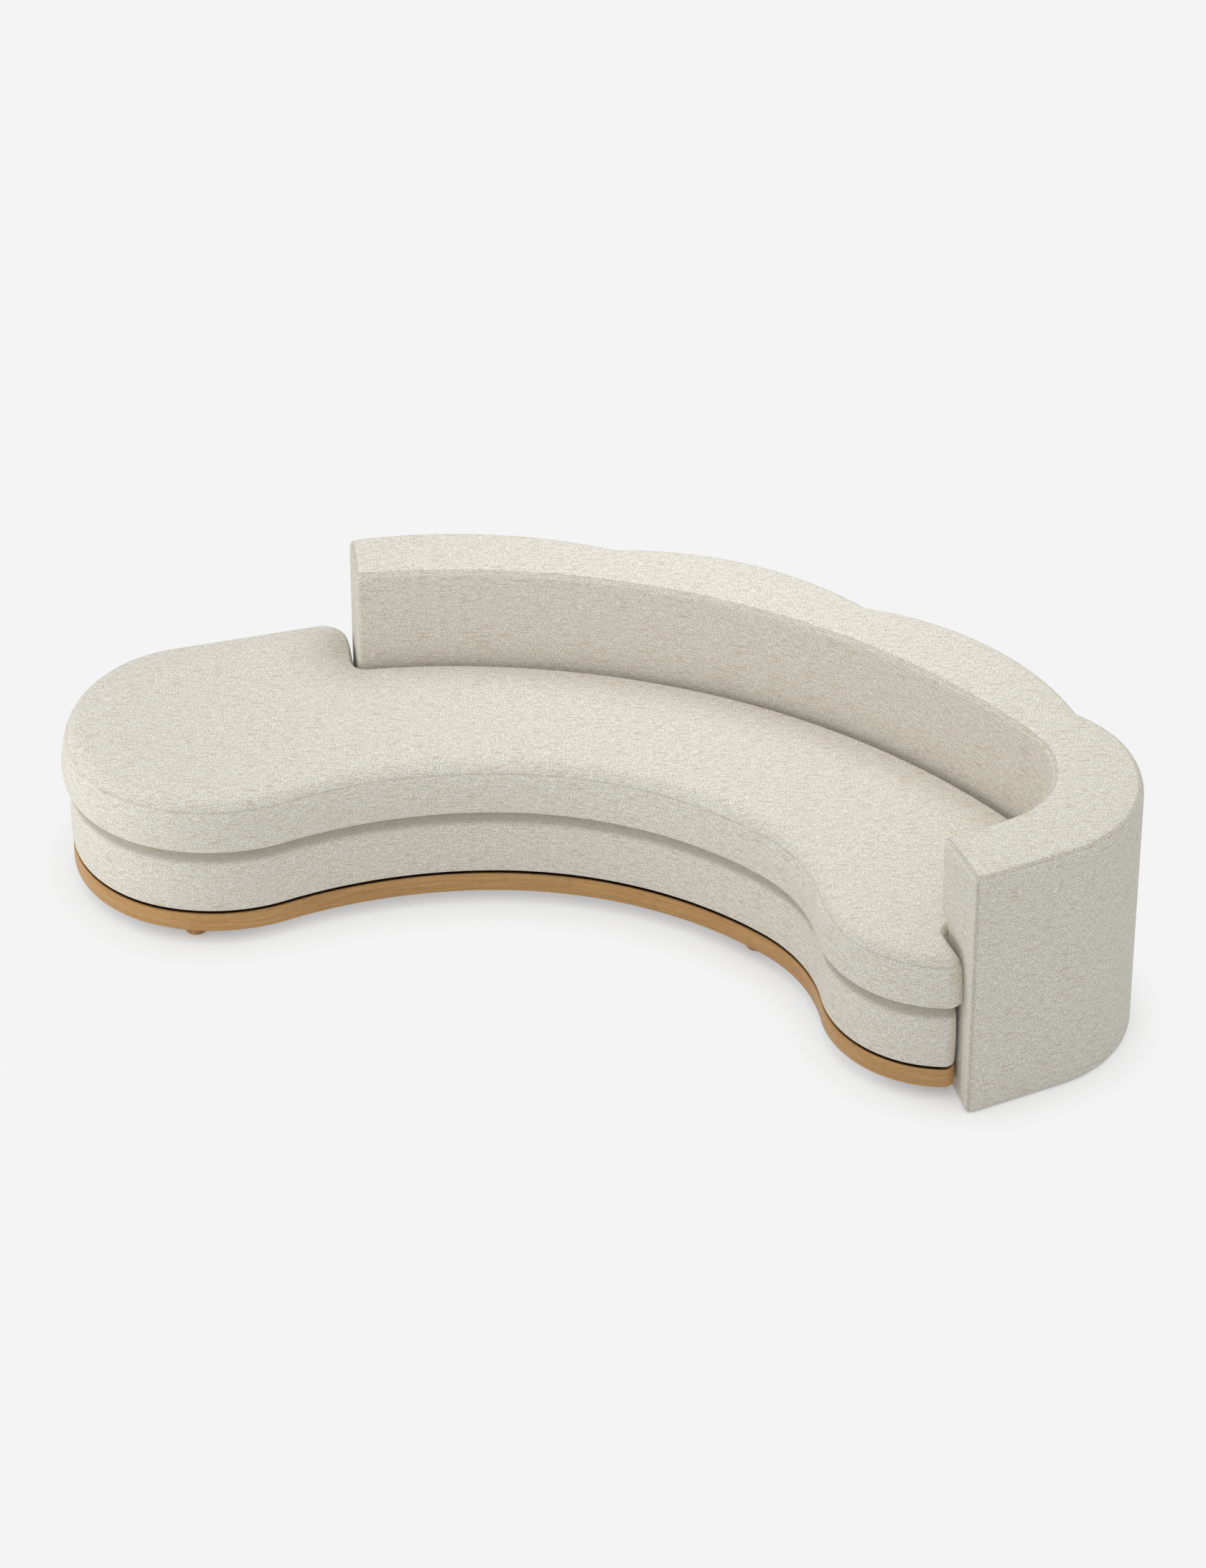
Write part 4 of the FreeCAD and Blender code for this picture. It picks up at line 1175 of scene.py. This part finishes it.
        # Painted shade along the top panel's seamed edge, standing in for the shadow in the seam.
        upper = shell.add(rows, np.where(distance < SEAM_SHADE_WIDTH, SEAM_SHADES["top"], 0.0))
        lower = shell.add(under)
        lay = laid(flat.reshape(-1, 2)).reshape(flat.shape)
        shell.quads(upper, lay)
        shell.quads(lower, lay)
        count, wide = upper.shape
        rim = [(i, 0) for i in range(count)] + [(count - 1, j) for j in range(1, wide)]
        rim += [(i, wide - 1) for i in range(count - 2, -1, -1)] + [(0, j) for j in range(wide - 2, 0, -1)]
        for a, b in zip(rim, rim[1:] + rim[:1]):
            shell.face((upper[a], upper[b], lower[b], lower[a]), [lay[a], lay[b], lay[b], lay[a]])
        put("back_top_panel", shell.mesh("back_top_panel"), material_named("linen"), "frame",
            ("back_top_cover", "back_top_pad"))


class CHAISE_OT_carried(bpy.types.Operator):
    """Give the frame pieces that show as they are their wood, webbing and nylon, and the bottom board a
    near-black that adds painted shade to the shadow gap
    """

    bl_idname = "chaise.carried"
    bl_label = "Frame pieces"

    def execute(self, context):
        for name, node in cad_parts.items():
            if node.hide_render:
                continue
            node.data.materials.clear()
            node.data.materials.append(material_named(CARRIED.get(name, "plywood")))
        return {"FINISHED"}


LAMPS = {
    "key": ((1.8, -3.2, 3.2), (0.3, 0.0, 0.3), 2.2),
    "top": ((0.1, 0.9, 2.8), (0.1, 0.4, 0.4), 1.6),
    "fill": ((-3.4, -2.0, 1.0), (-0.9, -0.3, 0.2), 1.6),
}
CAMERA_PLACE, CAMERA_TARGET = (4.089, -11.588, 9.844), (-0.1712, 0.4391, 0.0)
CAMERA_LENS, CAMERA_SENSOR = 188.57, 36.0
FLOOR_SIDE = 80.0
CONTACT_CLEAR, CONTACT_FADE = 0.88, 0.8


class CHAISE_OT_stage(bpy.types.Operator):
    """Set the pale floor, the soft light and the camera"""

    bl_idname = "chaise.stage"
    bl_label = "Stage"

    def execute(self, context):
        scene, look = context.scene, context.scene.chaise_look
        scene.view_settings.view_transform = "Standard"
        self.floor(scene, look)
        self.surroundings(scene, look)
        for name, (place, target, side) in LAMPS.items():
            self.light(scene, name, place, target, side, getattr(look, name + "_power"))
        self.camera(scene)
        return {"FINISHED"}

    def floor(self, scene, look):
        """A floor of one tone in the open, with its real shadow where the object closes it in."""
        tone = (look.floor_tone, look.floor_tone, look.floor_tone, 1)
        material, tree, shader = surface("floor", 0.9)
        shader.inputs["Base Color"].default_value = tone
        ray = Shade.node(tree, "ShaderNodeLightPath", output="Is Camera Ray")
        ray = ray.maths("MAXIMUM", ray, Shade.node(tree, "ShaderNodeLightPath", output="Is Glossy Ray"))
        glow = Shade.node(tree, "ShaderNodeEmission", {"Color": tone, "Strength": 1.0})
        lit = Shade(tree, shader.outputs["BSDF"])
        near = Shade.node(tree, "ShaderNodeAmbientOcclusion", {"Distance": look.contact}, "AO")
        clear = near.maths("MINIMUM", near / CONTACT_CLEAR, 1.0)
        even = clear.maths("POWER", clear, CONTACT_FADE) * look.floor_even
        both = Shade.node(tree, "ShaderNodeMixShader", {0: ray * even, 1: lit, 2: glow})
        tree.links.new(both.socket, tree.nodes["Material Output"].inputs["Surface"])
        mesh = bpy.data.meshes.new("floor")
        half = FLOOR_SIDE / 2
        corners = [(-half, -half, 0), (half, -half, 0), (half, half, 0), (-half, half, 0)]
        mesh.from_pydata(corners, [], [(0, 1, 2, 3)])
        mesh.materials.append(material)
        floor = bpy.data.objects.new("floor", mesh)
        scene.collection.objects.link(floor)

    def surroundings(self, scene, look):
        """Soft white light all round, stronger from above and from the right."""
        world = bpy.data.worlds.new("studio")
        scene.world = world
        world.use_nodes = True
        tree = world.node_tree
        background = tree.nodes["Background"]
        background.inputs["Color"].default_value = (1, 1, 1, 1)
        aim = Shade.node(tree, "ShaderNodeTexCoord", output="Generated")
        up = Shade.node(tree, "ShaderNodeSeparateXYZ", {0: aim}, "Z").between(0.0, 1.0)
        right = Shade.node(tree, "ShaderNodeSeparateXYZ", {0: aim}, "X")
        level = up * up * look.sky + right * look.side_light + look.ambient
        tree.links.new(level.socket, background.inputs["Strength"])

    def light(self, scene, name, place, target, side, watts):
        data = bpy.data.lights.new(name, "AREA")
        data.shape = "DISK"
        data.size = side
        data.energy = watts
        lamp = bpy.data.objects.new(name, data)
        lamp.location = place
        lamp.rotation_euler = facing(place, target)
        scene.collection.objects.link(lamp)

    def camera(self, scene):
        """A long lens at the photograph's angle."""
        camera = bpy.data.objects.new("camera", bpy.data.cameras.new("camera"))
        scene.collection.objects.link(camera)
        camera.data.sensor_fit = "HORIZONTAL"
        camera.data.sensor_width = CAMERA_SENSOR
        camera.data.lens = CAMERA_LENS
        camera.data.clip_end = 200.0
        camera.location = CAMERA_PLACE
        camera.rotation_euler = facing(CAMERA_PLACE, CAMERA_TARGET)
        scene.camera = camera


def facing(place, target):
    """Turns that point a lamp or a camera at its target."""
    return (Vector(target) - Vector(place)).to_track_quat("-Z", "Y").to_euler()


class CHAISE_PT_panel(bpy.types.Panel):
    """Buttons for every part of the chaise longue"""

    bl_idname = "CHAISE_PT_panel"
    bl_label = "Chaise longue"
    bl_space_type = "VIEW_3D"
    bl_region_type = "UI"
    bl_category = "Chaise"

    def draw(self, context):
        column = self.layout.column()
        for operator in OPERATORS:
            column.operator(operator.bl_idname)


GROUPS = {
    "chaise_plan": PlanSizes,
    "chaise_cushion": CushionSizes,
    "chaise_base": BaseSizes,
    "chaise_back": BackSizes,
    "chaise_look": LookSettings,
}
OPERATORS = (
    CHAISE_OT_cushion,
    CHAISE_OT_base,
    CHAISE_OT_plinth,
    CHAISE_OT_back,
    CHAISE_OT_carried,
    CHAISE_OT_stage,
)
CLASSES = (*GROUPS.values(), *OPERATORS, CHAISE_PT_panel)


def register():
    for item in CLASSES:
        bpy.utils.register_class(item)
    for name, kind in GROUPS.items():
        setattr(bpy.types.Scene, name, bpy.props.PointerProperty(type=kind))


def unregister():
    for name in GROUPS:
        delattr(bpy.types.Scene, name)
    for item in reversed(CLASSES):
        bpy.utils.unregister_class(item)


def main():
    register()
    bpy.ops.chaise.cushion()
    bpy.ops.chaise.base()
    bpy.ops.chaise.plinth()
    bpy.ops.chaise.back()
    bpy.ops.chaise.carried()
    bpy.ops.chaise.stage()


if __name__ == "__main__":
    main()
